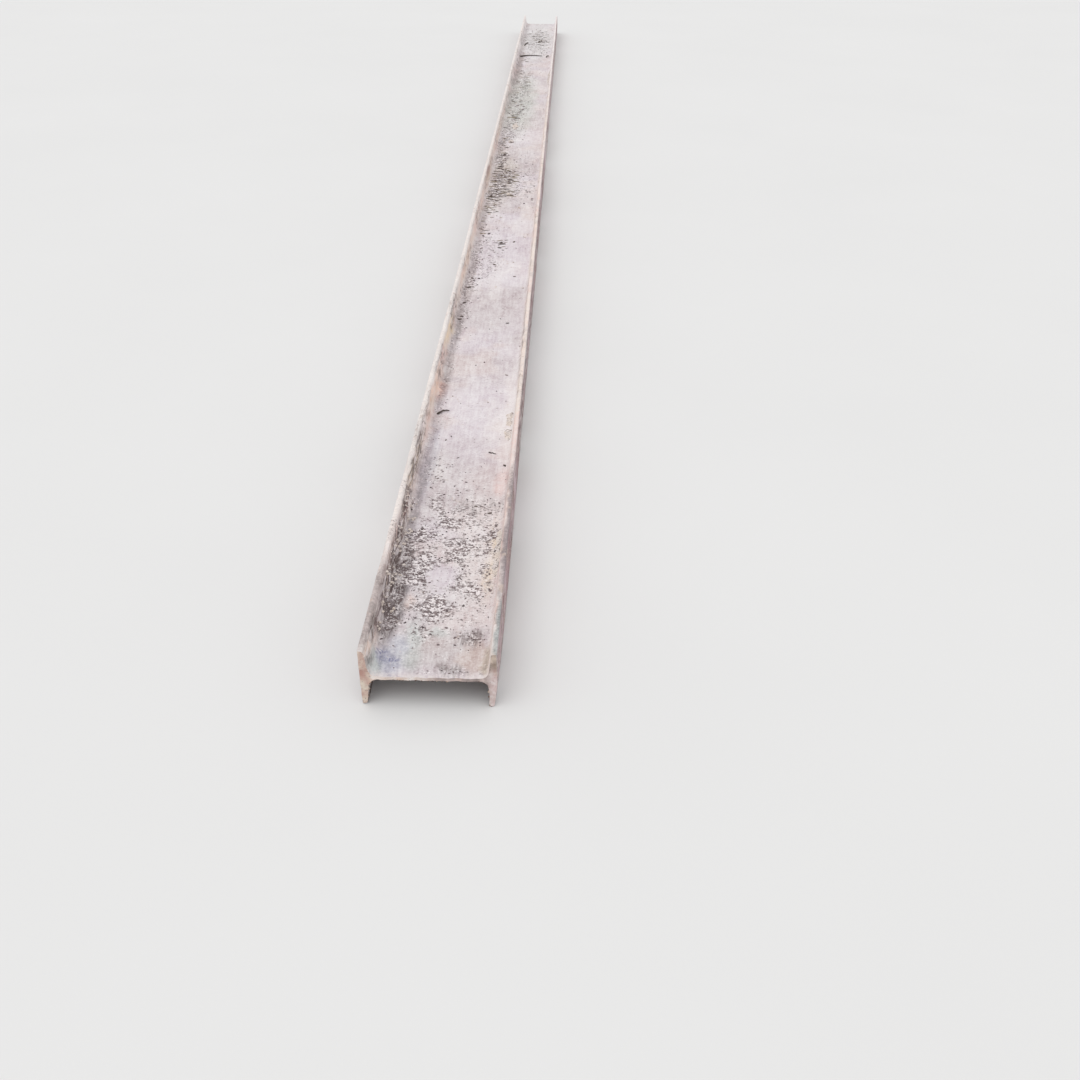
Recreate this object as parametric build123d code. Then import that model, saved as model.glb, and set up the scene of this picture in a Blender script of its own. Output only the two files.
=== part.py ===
"""A rolled steel joist, 6 by 3 inches, cut by torch to a length of 15 feet.

The beam lies with its web level and its two flanges upright. X runs across the web from
flange to flange, Y runs along the beam from the near end to the far end, and Z is up.
The origin is the centre of the rectangle that the beam covers on the floor, at floor
level. All lengths are in millimetres and all angles in degrees.
"""
import math
import os

from build123d import *

# Rolled section
SECTION_DEPTH = 152.4
FLANGE_WIDTH = 76.2
WEB_THICKNESS = 5.8
FLANGE_THICKNESS = 9.6
FLANGE_SLOPE = 8.0
ROOT_RADIUS = 9.4
TOE_RADIUS = 4.6
OUTER_CORNER_RADIUS = 1.0

# Stock length, over the highest points of both cut ends
BEAM_LENGTH = 4572.0

# Near end, a steady torch cut: how far its line swings in and out, how far apart the
# swings are, and how far the cut falls back from the left flange to the right one
NEAR_SWING = 1.4
NEAR_PITCH = 17.0
NEAR_SKEW = 0.8

# Far end, a rougher cut
FAR_SWING = 4.5
FAR_PITCH = 14.0
FAR_SKEW = 3.0

# Turn of the sine from one swing of the torch to the next, and from pass to pass
SWING_TURN = 137.5
PASS_TURN = 70.0

# How far the waste at an end reaches past the steel, so that no thin skin is left
OVERRUN = 20.0


def flange_thickness_at(inset):
    """Thickness of a flange at this distance in from its tip.

    The rolled thickness holds at a quarter of the flange width, and the inner face
    slopes evenly from there towards the web and towards the tip.
    """
    slope = math.tan(math.radians(FLANGE_SLOPE))
    return FLANGE_THICKNESS + slope * (inset - FLANGE_WIDTH / 4)


def flange_root():
    """Distance from the middle of the section to where the flange meets the web."""
    outstand = (FLANGE_WIDTH - WEB_THICKNESS) / 2
    return SECTION_DEPTH / 2 - flange_thickness_at(outstand)


def beam_section():
    """The I-shaped section about its own middle, with its fillets and rounded corners."""
    half_depth = SECTION_DEPTH / 2
    half_width = FLANGE_WIDTH / 2
    half_web = WEB_THICKNESS / 2
    root = flange_root()
    toe = half_depth - flange_thickness_at(0)
    quarter = [(root, half_web), (toe, half_width), (half_depth, half_width)]
    right_side = quarter + [(x, -z) for x, z in reversed(quarter)]
    outline = right_side + [(-x, -z) for x, z in right_side]
    section = make_face(Polyline(*outline, close=True))
    for corner, radius in zip(quarter, (ROOT_RADIUS, TOE_RADIUS, OUTER_CORNER_RADIUS)):
        section = fillet(like_corners(section, corner), radius)
    return Plane.XZ * section


def like_corners(section, corner):
    """The four corners of the section that mirror this one."""
    return [
        vertex
        for vertex in section.vertices()
        if math.isclose(abs(vertex.X), corner[0], abs_tol=1e-6)
        and math.isclose(abs(vertex.Y), corner[1], abs_tol=1e-6)
    ]


def torch_line(run, swing, pitch, start_turn):
    """Points along one pass of the torch: place along the run, depth behind its crest.

    The points stand half a pitch apart. The depth of each is half a swing times the sine
    of a turn that grows by SWING_TURN from point to point, counted from the highest
    point, so that the line wanders in and out and never repeats itself.
    """
    steps = max(4, round(2 * run / pitch))
    turns = [math.radians(start_turn + SWING_TURN * step) for step in range(steps + 1)]
    swings = [swing / 2 * math.sin(turn) for turn in turns]
    crest = min(swings)
    return [(run * step / steps, depth - crest) for step, depth in enumerate(swings)]


def waste_sheet(line):
    """Flat outline of the waste in front of one torch line, square at its back."""
    start = line[0]
    end = line[-1]
    back = Polyline(end, (end[0], -OVERRUN), (start[0], -OVERRUN), start)
    return make_face(Spline(*line) + back)


def web_waste(end_y, inward, swing, pitch, skew):
    """Waste of the pass across the web, which stops where the flanges start."""
    root = flange_root()
    run = 2 * root
    line = [
        (place, depth + skew * place / run)
        for place, depth in torch_line(run, swing, pitch, 0)
    ]
    level = Plane(origin=(-root, end_y, 0), x_dir=(1, 0, 0), z_dir=(0, 0, inward))
    return extrude(level * waste_sheet(line), amount=FLANGE_WIDTH / 2 + OVERRUN, both=True)


def flange_waste(side, end_y, inward, swing, pitch, setback):
    """Waste of the pass down one flange, side -1 for the left one and 1 for the right."""
    root = flange_root()
    outside = SECTION_DEPTH / 2 + OVERRUN
    run = FLANGE_WIDTH + 2 * OVERRUN
    line = [
        (place, depth + setback)
        for place, depth in torch_line(run, swing, pitch, side * PASS_TURN)
    ]
    origin = (side * (root + outside) / 2, end_y, run / 2)
    upright = Plane(origin=origin, x_dir=(0, 0, -1), z_dir=(inward, 0, 0))
    return extrude(upright * waste_sheet(line), amount=(outside - root) / 2, both=True)


def end_waste(inward, swing, pitch, skew):
    """All the waste at one end: inward is 1 at the near end and -1 at the far end."""
    end_y = -inward * BEAM_LENGTH / 2
    return [
        web_waste(end_y, inward, swing, pitch, skew),
        flange_waste(-1, end_y, inward, swing, pitch, 0),
        flange_waste(1, end_y, inward, swing, pitch, skew),
    ]


def rolled_beam():
    """The whole beam, standing on the tips of its flanges at floor level."""
    stock = extrude(beam_section(), amount=BEAM_LENGTH / 2, both=True)
    for waste in end_waste(1, NEAR_SWING, NEAR_PITCH, NEAR_SKEW):
        stock -= waste
    for waste in end_waste(-1, FAR_SWING, FAR_PITCH, FAR_SKEW):
        stock -= waste
    return Pos(0, 0, FLANGE_WIDTH / 2) * stock


os.makedirs("parts", exist_ok=True)
export_step(rolled_beam(), "parts/beam.step")
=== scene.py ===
"""Dresses a salvaged steel i-beam and lights it in a plain pale studio.

The beam lies with its web level and its flanges upright. X runs across the web, Y along
the beam from the near end to the far end, and Z is up. All lengths are in metres.
"""
import functools
import itertools
import logging
import math
from collections.abc import Callable
from dataclasses import dataclass, field
from enum import Enum

import bmesh
import bpy
import numpy as np
from mathutils import Matrix, Vector


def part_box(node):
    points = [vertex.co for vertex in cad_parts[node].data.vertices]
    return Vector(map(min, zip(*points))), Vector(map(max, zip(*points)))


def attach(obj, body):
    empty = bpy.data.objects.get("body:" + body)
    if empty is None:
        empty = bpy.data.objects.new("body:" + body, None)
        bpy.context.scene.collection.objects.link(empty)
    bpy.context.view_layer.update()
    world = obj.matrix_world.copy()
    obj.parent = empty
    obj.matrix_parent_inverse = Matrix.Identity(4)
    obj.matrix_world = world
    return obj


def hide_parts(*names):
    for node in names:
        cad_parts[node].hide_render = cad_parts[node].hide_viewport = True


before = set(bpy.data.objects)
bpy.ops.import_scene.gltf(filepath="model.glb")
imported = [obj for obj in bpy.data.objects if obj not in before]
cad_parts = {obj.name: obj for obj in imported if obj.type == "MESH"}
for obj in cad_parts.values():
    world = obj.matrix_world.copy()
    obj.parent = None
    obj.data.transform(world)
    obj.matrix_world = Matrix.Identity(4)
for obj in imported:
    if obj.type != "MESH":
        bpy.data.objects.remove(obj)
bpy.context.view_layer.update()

BODY = "root"
NODE = "beam"
MM = 0.001

Array = np.ndarray
Arrays = tuple[Array, Array]
Pair = tuple[float, float]
Triple = tuple[float, float, float]
Colour = Triple
Chance = np.random.Generator
Material = bpy.types.Material
Mesh = bpy.types.Mesh
Piece = bpy.types.Object
Socket = bpy.types.NodeSocket
Inputs = dict[str | int, object]

NOISE_TABLE_SIZE = 65536
NOISE_STRIDES = np.array([73856093, 19349663, 83492791])
STATION_SAMPLES = 20001
SHARP_ANGLE = math.radians(50)

# Shares of a patch's half size at which it starts to fade and ends
PATCH_FADE = (0.35, 1.15)

# Half width from which a stain's outline wanders by the whole of its noise
STEADY_WIDTH = 24 * MM

# Least and largest share of its radius at which a stone's point lies
STONE_PULL = (0.62, 1.12)

log = logging.getLogger("beam")


class Surface(Enum):
    """The kinds of surface that the finishes tell apart."""

    STEEL = "weathered_primer"
    GRIT = "dark_grit"
    LIME = "lime_crust"
    LITTER = "dry_litter"
    FLAKE = "dark_flake"
    SLAG = "torch_slag"
    CUT = "torch_face"
    FLOOR = "studio_floor"


def smooth_step(value: Array, low: float, high: float) -> Array:
    """Eases from 0 at low to 1 at high, flat at both ends: 3t² - 2t³ of the clipped share.

    Args:
        value: Numbers to ease.
        low: Value that gives 0.
        high: Value that gives 1.

    Returns:
        The eased numbers.
    """
    share = np.clip((value - low) / (high - low), 0.0, 1.0)
    return share * share * (3.0 - 2.0 * share)


def lattice_noise(points: Array, cell: float, seed: int) -> Array:
    """Smooth noise from 0 to 1 over space.

    Space is cut into cubes. Each corner of a cube takes a number from a seeded table, and
    a point takes the blend of its cube's eight corners, eased across the cube.

    Args:
        points: Places, one row of x, y and z each.
        cell: Side of a cube.
        seed: Choice of the table.

    Returns:
        One number for each point.
    """
    table = np.random.default_rng(seed).random(NOISE_TABLE_SIZE)
    scaled = points / cell
    low = np.floor(scaled).astype(np.int64)
    share = smooth_step(scaled - low, 0.0, 1.0)
    total = np.zeros(len(points))
    for corner in itertools.product((0, 1), repeat=3):
        weight = np.prod(np.where(np.array(corner) == 1, share, 1.0 - share), axis=1)
        total += weight * table[(low + corner) @ NOISE_STRIDES % NOISE_TABLE_SIZE]
    return total


def fractal_noise(points: Array, cell: float, seed: int, octaves: int = 3) -> Array:
    """Noise from 0 to 1 with finer noise on it: each octave has half the cell and half the weight.

    Args:
        points: Places, one row of x, y and z each.
        cell: Side of the coarsest cube.
        seed: Choice of the tables.
        octaves: How many layers are added.

    Returns:
        One number for each point.
    """
    weights = 0.5 ** np.arange(octaves)
    layers = [weight * lattice_noise(points, cell * weight, seed + row) for row, weight in enumerate(weights)]
    return np.sum(layers, axis=0) / weights.sum()


def clouds(points: Array, cell: float, seed: int, low: float, high: float, octaves: int = 3) -> Array:
    """Fractal noise, eased from 0 where it is low to 1 where it is high."""
    return smooth_step(fractal_noise(points, cell, seed, octaves), low, high)


def stray(points: Array, cell: float, seed: int, width: float, octaves: int = 3) -> Array:
    """Fractal noise about 0: the noise less a half, times the width."""
    return (fractal_noise(points, cell, seed, octaves) - 0.5) * width


def between(low: object, high: object, share: Array) -> Array:
    """What lies this share of the way from low to high."""
    return low + (high - low) * share


def arc(start: float, end: float, steps: int, radius: float, centre: Pair) -> Array:
    """Points of a circle from one turn to another: the turn's cosine and sine times the radius.

    Args:
        start: First turn, in radians.
        end: Last turn.
        steps: Steps between them.
        radius: Radius of the circle.
        centre: Its centre.

    Returns:
        The points, one row each.
    """
    turns = np.linspace(start, end, steps + 1)
    return np.stack([np.cos(turns), np.sin(turns)], axis=1) * radius + np.array(centre)


@dataclass(frozen=True)
class RolledSection:
    """The I-shaped section, as a closed ring of points round the middle of the beam.

    Attributes:
        depth: Outer face to outer face of the flanges, along X.
        flange: Width of a flange, along Z.
        web: Thickness of the web.
        flange_thickness: Thickness a quarter of the flange width in from its tip.
        slope: Turn of the flange's inner face, in radians.
        root_radius: Radius of the fillet between web and flange.
        toe_radius: Radius of the rounded toe of a flange.
        corner_radius: Radius of the outer corners of a flange.
        corner_steps: Faces round an outer corner.
        outer_steps: Faces up the flat of a flange's outer face.
        toe_steps: Faces round a toe.
        inner_steps: Faces down the slope of a flange's inner face.
        root_steps: Faces round a root fillet.
        web_steps: Faces across the flat of the web.
    """

    depth: float
    flange: float
    web: float = 5.8 * MM
    flange_thickness: float = 9.6 * MM
    slope: float = math.radians(8.0)
    root_radius: float = 9.4 * MM
    toe_radius: float = 4.6 * MM
    corner_radius: float = 1.0 * MM
    corner_steps: int = 2
    outer_steps: int = 22
    toe_steps: int = 3
    inner_steps: int = 5
    root_steps: int = 4
    web_steps: int = 26

    def thickness_at(self, inset: float) -> float:
        """Thickness of a flange at this distance in from its tip."""
        return self.flange_thickness + math.tan(self.slope) * (inset - self.flange / 4)

    @property
    def root(self) -> float:
        """Distance from the middle of the section to where flange and web faces would cross."""
        return self.depth / 2 - self.thickness_at((self.flange - self.web) / 2)

    @property
    def rows(self) -> int:
        """Faces down the inner contour of half a flange, from its tip to the flat of the web."""
        return self.toe_steps + self.inner_steps + self.root_steps

    @property
    def root_centre(self) -> Pair:
        """Centre of the upper right root fillet, above the web's middle plane.

        It stands a root radius over the web's face, and as far in from the sloping face.

        Returns:
            Its x and z.
        """
        toe = self.depth / 2 - self.thickness_at(0.0)
        centre_z = self.web / 2 + self.root_radius
        sine, cosine = math.sin(self.slope), math.cos(self.slope)
        down = (self.flange / 2 - centre_z + self.root_radius * sine) / cosine
        return toe - down * sine - self.root_radius * cosine, centre_z

    def outer_column(self) -> Array:
        """Points up the right flange's outer face, with its rounded corners.

        Returns:
            The points, from the lower tip to the upper one.
        """
        middle = self.flange / 2 - self.corner_radius
        centre = (self.depth / 2 - self.corner_radius, middle)
        upper = arc(0.0, math.pi / 2, self.corner_steps, self.corner_radius, centre)
        levels = np.linspace(-middle, middle, self.outer_steps + 1)[1:-1]
        straight = np.stack([np.full_like(levels, self.depth / 2), levels], axis=1)
        lower = upper[::-1] * [1.0, -1.0]
        return np.concatenate([lower, straight, upper])

    def inner_column(self) -> Array:
        """Points down the right flange's inner contour: the toe's arc, the slope and the root's arc.

        Returns:
            The points, from the upper tip to the flat of the web.
        """
        toe = self.depth / 2 - self.thickness_at(0.0)
        reach = self.toe_radius * (1 - math.sin(self.slope)) / math.cos(self.slope)
        centre_x = toe - reach * math.sin(self.slope) + self.toe_radius * math.cos(self.slope)
        centre = (centre_x, self.flange / 2 - self.toe_radius)
        toe_arc = arc(math.pi / 2, math.pi - self.slope, self.toe_steps, self.toe_radius, centre)
        root_arc = arc(-self.slope, -math.pi / 2, self.root_steps, self.root_radius, self.root_centre)
        share = np.linspace(0.0, 1.0, self.inner_steps + 1)[1:-1, None]
        face = between(toe_arc[-1], root_arc[0], share)
        return np.concatenate([toe_arc, face, root_arc])

    def ring(self) -> Array:
        """Points round the whole section, x and z each, anticlockwise seen from the near end.

        Half the ring runs from the right flange's lower tip over its outer face, down into
        the upper trough, across the web and up to the left flange's tip. The other half is
        the same half turned about the middle.

        Returns:
            The points, one row each.
        """
        outer = self.outer_column()
        inner = self.inner_column()
        tip = (outer[-1:] + inner[:1]) / 2
        across = np.linspace(inner[-1, 0], -inner[-1, 0], self.web_steps + 1)[1:-1]
        flat = np.stack([across, np.full_like(across, self.web / 2)], axis=1)
        mirror = np.array([-1.0, 1.0])
        half = np.concatenate([outer, tip, inner, flat, inner[::-1] * mirror, tip * mirror])
        return np.concatenate([half, -half])

    def flange_rows(self, side: int) -> tuple[Array, Array, Array]:
        """Ring numbers of one flange's end face: its outer column and its two inner columns.

        Args:
            side: 0 for the right flange and 1 for the left one.

        Returns:
            The outer column, the inner column before the web and the one after it.
        """
        count = len(self.ring())
        shift = side * count // 2
        outer = np.arange(self.outer_steps + 2 * self.corner_steps + 1)
        first_inner = len(outer) + 1
        after = np.arange(first_inner + self.rows, first_inner - 1, -1)
        before = np.arange(count - 2, count - 3 - self.rows, -1)
        return (outer + shift) % count, (before + shift) % count, (after + shift) % count

    def web_rows(self) -> Arrays:
        """Ring numbers of the web's end face, from right to left.

        Returns:
            Its upper and its lower row.
        """
        count = len(self.ring())
        _, before, after = self.flange_rows(0)
        upper = after[0] + np.arange(self.web_steps + 1)
        lower = before[-1] - np.arange(self.web_steps + 1)
        return upper, lower % count


@dataclass(frozen=True)
class TorchCut:
    """A cut end: one pass of the torch down each flange and one across the web.

    Attributes:
        swing: How far the torch wandered in and out.
        pitch: Distance between two swings.
        skew: How far the cut falls back from the left flange to the right one.
        drag: Depth of the fine drag lines that the flame leaves.
        drag_pitch: Distance between two drag lines.
        drag_bend: How far the drag lines' sine is turned by a slower one, in radians.
        drag_turn: Turn of that slower sine over a metre.
        overrun: How far a pass down a flange starts above its tip.
        reach: How far behind the cut the steel is drawn out of line.
        swing_turn: Turn of the sine from one swing to the next.
        pass_turn: Turn of the sine from one pass to the next.
    """

    swing: float
    pitch: float
    skew: float
    drag: float = 0.35 * MM
    drag_pitch: float = 11.0 * MM
    drag_bend: float = 3.0
    drag_turn: float = 90.0
    overrun: float = 20.0 * MM
    reach: float = 26.0 * MM
    swing_turn: float = math.radians(137.5)
    pass_turn: float = math.radians(70.0)

    def line(self, place: Array, run: float, start_turn: float) -> Array:
        """Depth of one pass behind its highest point.

        The torch swings to points half a pitch apart. Each is as deep as half a swing
        times the sine of a turn that grows by swing_turn, and the depth between two
        points eases from one to the other.

        Args:
            place: Distances along the pass.
            run: Length of the pass.
            start_turn: Turn of the first point, in radians.

        Returns:
            One depth for each place.
        """
        steps = max(4, round(2 * run / self.pitch))
        depths = self.swing / 2 * np.sin(start_turn + self.swing_turn * np.arange(steps + 1))
        depths = depths - depths.min()
        scaled = np.clip(place / run, 0.0, 1.0) * steps
        low = np.minimum(scaled.astype(int), steps - 1)
        share = smooth_step(scaled - low, 0.0, 1.0)
        return between(depths[low], depths[low + 1], share)

    def recess(self, section: RolledSection, across: Array, up: Array) -> Array:
        """How far the cut lies behind the beam's nominal end: its pass's line, and the drag lines.

        Args:
            section: The section that was cut.
            across: Distances from the middle of the web, along X.
            up: Distances from the web's middle plane, along Z.

        Returns:
            One depth for each place.
        """
        run = section.flange + 2 * self.overrun
        down = run / 2 - up
        left = self.line(down, run, -self.pass_turn)
        right = self.line(down, run, self.pass_turn) + self.skew
        width = 2 * section.root
        middle = self.line(across + section.root, width, 0.0) + self.skew * (across / width + 0.5)
        on_flange = np.abs(across) > section.root
        cut = np.where(on_flange, np.where(across < 0, left, right), middle)
        along = np.where(on_flange, up, across)
        turn = 2 * math.pi * along / self.drag_pitch + self.drag_bend * np.sin(along * self.drag_turn)
        return cut + self.drag * (0.5 + 0.5 * np.sin(turn))


@dataclass(frozen=True)
class Patch:
    """A soft-edged oval on the beam's upper side.

    Attributes:
        across: Its centre's distance from the middle of the web.
        along: Its centre's distance from the near end.
        half_width: Half its width across the web.
        half_length: Half its length along the beam.
        strength: How strongly it shows, from 0 to 1.
        turn: How far its length leans from the beam towards the left, in degrees.
    """

    across: float
    along: float
    half_width: float
    half_length: float
    strength: float = 1.0
    turn: float = 0.0

    def share(self, across: Array, along: Array) -> Array:
        """How much of it shows: strength times one less the eased distance from its centre.

        Args:
            across: Distances from the middle of the web.
            along: Distances from the near end.

        Returns:
            One share for each place.
        """
        turn = math.radians(self.turn)
        right, ahead = across - self.across, along - self.along
        width = (right * math.cos(turn) + ahead * math.sin(turn)) / self.half_width
        length = (ahead * math.cos(turn) - right * math.sin(turn)) / self.half_length
        return self.strength * (1.0 - smooth_step(np.hypot(width, length), *PATCH_FADE))


def blend(under: object, over: object, share: Array) -> Array:
    """Lays one colour over another at each place: under + (over - under) times the share."""
    return between(np.atleast_2d(under), np.atleast_2d(over), share[:, None])


def clouded(colours: tuple[Colour, ...], strengths: tuple[float, ...], cover: tuple[Array, ...]) -> Array:
    """Lays further colours over a first one, one after another.

    Args:
        colours: The first colour and the further ones.
        strengths: Strength of each further one.
        cover: Where each further one lies, as a share for each place.

    Returns:
        One colour for each place.
    """
    colour = colours[0]
    for over, strength, share in zip(colours[1:], strengths, cover):
        colour = blend(colour, over, strength * share)
    return colour


def new_object(name: str, data: bpy.types.ID) -> Piece:
    """Links a new object at the origin.

    Args:
        name: Its name.
        data: The mesh, lamp or camera that it shows.

    Returns:
        The object.
    """
    piece = bpy.data.objects.new(name, data)
    bpy.context.scene.collection.objects.link(piece)
    return piece


def mesh_from_arrays(name: str, points: Array, faces: Array, smooth: bool = True) -> Mesh:
    """Makes a mesh of faces that all have the same number of corners.

    Args:
        name: Name of the mesh.
        points: Vertices, one row each.
        faces: Vertex numbers, one row for each face.
        smooth: Whether it is smooth shaded.

    Returns:
        The mesh.
    """
    mesh = bpy.data.meshes.new(name)
    corners = faces.shape[1]
    mesh.vertices.add(len(points))
    mesh.vertices.foreach_set("co", points.astype(np.float32).ravel())
    mesh.loops.add(faces.size)
    mesh.loops.foreach_set("vertex_index", faces.astype(np.int32).ravel())
    mesh.polygons.add(len(faces))
    mesh.polygons.foreach_set("loop_start", np.arange(len(faces), dtype=np.int32) * corners)
    mesh.polygons.foreach_set("loop_total", np.full(len(faces), corners, dtype=np.int32))
    mesh.update(calc_edges=True)
    mesh.polygons.foreach_set("use_smooth", np.full(len(faces), smooth))
    return mesh


def closed_piece(name: str, parts: list[Arrays]) -> Piece:
    """A piece that is made of closed parts, welded and facing out.

    Args:
        name: Its name.
        parts: Points and faces of each part.

    Returns:
        The piece.
    """
    mesh = mesh_from_arrays(name, *join(parts))
    close_and_face_out(mesh)
    return new_object(name, mesh)


def join(parts: list[Arrays]) -> Arrays:
    """Puts parts together: the faces of each count on from the points before it.

    Args:
        parts: Points and faces of each part.

    Returns:
        All the points and all the faces.
    """
    starts = np.cumsum([0] + [len(points) for points, _ in parts])
    points = np.concatenate([points for points, _ in parts])
    faces = np.concatenate([faces + start for (_, faces), start in zip(parts, starts)])
    return points, faces


def grid_faces(rows: int, columns: int, around: bool = False) -> Array:
    """Quads between the points of a grid that is numbered row by row.

    Args:
        rows: Rows of points.
        columns: Points in a row.
        around: Whether each row closes on its first point.

    Returns:
        Four point numbers for each quad.
    """
    numbers = np.arange(rows * columns).reshape(rows, columns)
    if around:
        numbers = np.concatenate([numbers, numbers[:, :1]], axis=1)
    quads = [numbers[:-1, :-1], numbers[:-1, 1:], numbers[1:, 1:], numbers[1:, :-1]]
    return np.stack(quads, axis=-1).reshape(-1, 4)


def close_and_face_out(mesh: Mesh) -> None:
    """Welds points that coincide and turns every face outwards.

    Args:
        mesh: The mesh, which is changed in place.
    """
    form = bmesh.new()
    form.from_mesh(mesh)
    bmesh.ops.remove_doubles(form, verts=form.verts, dist=1e-6)
    bmesh.ops.recalc_face_normals(form, faces=form.faces)
    form.to_mesh(mesh)
    form.free()
    mesh.update()


def linear(*channels: int) -> Colour:
    """Turns red, green and blue as a picture holds them, 0 to 255, into what a shader takes."""
    shares = [value / 255 for value in channels]
    return tuple(share / 12.92 if share <= 0.04045 else ((share + 0.055) / 1.055) ** 2.4 for share in shares)


LILAC_FILM = linear(221, 213, 218)
GREY_FILM = linear(211, 202, 204)
WARM_FILM = linear(223, 212, 211)
BLUE_FILM = linear(190, 192, 203)
SLATE_MARK = linear(146, 146, 172)
CREAM_LIME = linear(234, 220, 202)
WHITE_LIME = linear(234, 228, 227)
LILAC_PRIMER = linear(196, 174, 181)
OLD_PRIMER = linear(168, 142, 144)
PINK_PRIMER = linear(226, 198, 194)
MAROON_PRIMER = linear(146, 108, 110)
KHAKI_DUST = linear(190, 178, 160)
# Painted light: the next three colours are paler copies of the dust film for the inner faces, to make up for
# the shade on the upright faces.
LIT_PALE_KHAKI = linear(246, 232, 222)
LIT_PALE_FLANGE = linear(246, 233, 229)
LIT_PINK_FLANGE = linear(244, 216, 210)
# Painted highlight: the sunlit upper tip of the left flange.
LIT_TIP_HIGHLIGHT = linear(248, 242, 238)
# Partly painted shade: the dark of the gap beside the right flange, laid along its upper tip near the near
# end.
TIP_SHADE = linear(148, 137, 139)
# Tan rust, and on the inner faces also painted light: paler than the rust, to make up for the shade there.
TAN_RUST_AND_LIGHT = linear(250, 226, 212)
DARK_DIRT = linear(112, 98, 97)
# Dirt and painted shade: the next two colours darken the left root, where web and flange meet, and the lower
# inner face of the left flange.
ROOT_DIRT_AND_SHADE = linear(82, 70, 71)
PURPLE_DIRT_AND_SHADE = linear(144, 128, 134)
GREEN_DUST = linear(203, 206, 200)
GREEN_GREY = linear(200, 205, 203)
PALE_GREEN = linear(210, 214, 213)
NEAR_GREY = linear(204, 196, 196)
NEAR_WARM = linear(207, 192, 187)
TIP_GREY = linear(176, 164, 162)
KHAKI_STREAK = linear(226, 212, 194)
FAR_GREY = linear(222, 220, 220)
# Painted light: a near-white copy of the film for the far inner faces.
LIT_FAR_FLANGE = linear(253, 247, 248)
WARM_KHAKI = linear(254, 234, 206)
TEAL_GREY = linear(160, 166, 166)
DARK_RUST = linear(108, 88, 84)
OCHRE_RUST = linear(206, 176, 148)
# Dirt and painted shade: darkens the left root along the beam and the lower inner face of the left flange.
GREY_ROOT_DIRT_AND_SHADE = linear(142, 128, 124)


@dataclass(frozen=True)
class Stain:
    """A patch with a linear colour of its own, its distance across measured round the skin."""

    patch: Patch
    colour: Colour


def patches(*rows: tuple[float, ...]) -> tuple[Patch, ...]:
    """Patches, each given by what Patch holds, with its place and sizes in millimetres."""
    return tuple(Patch(*(size * MM for size in row[:4]), *row[4:]) for row in rows)


def stains(*rows: tuple[Colour | float, ...]) -> tuple[Stain, ...]:
    """Stains, each given by its colour and by what patches takes."""
    return tuple(Stain(*patches(sizes), colour) for colour, *sizes in rows)


# Of the web, the inner faces, the outer faces and the undersides: four colours, each over the
# one before, and the strengths of the last three. The inner faces' colours are painted light:
# paler copies of the dust film that make up for the shade on the upright faces.
ZONE_TONES = (
    ((GREY_FILM, LILAC_FILM, WARM_FILM, WHITE_LIME), (1.0, 0.7, 0.35)),
    ((LIT_PALE_FLANGE, LIT_PALE_KHAKI, LIT_PINK_FLANGE, TAN_RUST_AND_LIGHT), (1.0, 0.6, 0.5)),
    ((LILAC_PRIMER, OLD_PRIMER, MAROON_PRIMER, WHITE_LIME), (1.0, 0.6, 0.75)),
    ((DARK_RUST, DARK_DIRT, OLD_PRIMER, TAN_RUST_AND_LIGHT), (1.0, 0.6, 0.5)),
)

WEB_STAINS = stains(
    (PALE_GREEN, -65, 20, 15, 38, 0.9), (GREEN_GREY, -24, 54, 15, 64, 0.9),
    (BLUE_FILM, -45, 32, 18, 48, 0.8), (GREEN_GREY, 6, 84, 15, 17, 0.7),
    (SLATE_MARK, -57, 40, 8, 10, 0.4), (SLATE_MARK, -44, 31, 11, 5, 0.3),
    (NEAR_GREY, 14, 40, 54, 54, 0.7), (NEAR_WARM, 50, 40, 20, 46, 0.75),
    # Dirt and painted shade: the dark stains near -56 mm round the skin, here and below, darken the left root
    # along the whole beam.
    (ROOT_DIRT_AND_SHADE, -56, 104, 15, 44, 0.8), (ROOT_DIRT_AND_SHADE, -55, 190, 14, 80, 0.95),
    (ROOT_DIRT_AND_SHADE, -57, 290, 10, 64, 0.5), (KHAKI_DUST, 62, 24, 7, 34, 0.65),
    (TAN_RUST_AND_LIGHT, -40, 132, 8, 22, 0.35), (LILAC_FILM, -2, 190, 30, 42, 0.9),
    (CREAM_LIME, 56, 240, 12, 100, 0.7), (WHITE_LIME, 31, 220, 24, 100, 0.75),
    (WARM_FILM, 36, 390, 40, 110, 0.5), (PINK_PRIMER, 58, 422, 14, 44, 0.8),
    (BLUE_FILM, -52, 480, 14, 160, 0.35), (PINK_PRIMER, -61, 716, 10, 46, 0.7),
    (PURPLE_DIRT_AND_SHADE, -58, 450, 11, 150, 0.45), (ROOT_DIRT_AND_SHADE, -58, 850, 10, 340, 0.33),
    (GREY_ROOT_DIRT_AND_SHADE, -56, 1230, 13, 330, 0.45), (GREY_ROOT_DIRT_AND_SHADE, -58, 1640, 12, 260, 0.4),
    (GREY_ROOT_DIRT_AND_SHADE, -56, 3500, 16, 1400, 0.6), (WHITE_LIME, 58, 620, 16, 260, 0.6),
    (KHAKI_DUST, -30, 1990, 48, 300, 0.35), (GREEN_DUST, -20, 2900, 60, 560, 0.7),
    (FAR_GREY, 0, 4150, 90, 620, 0.8),
)

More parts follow.
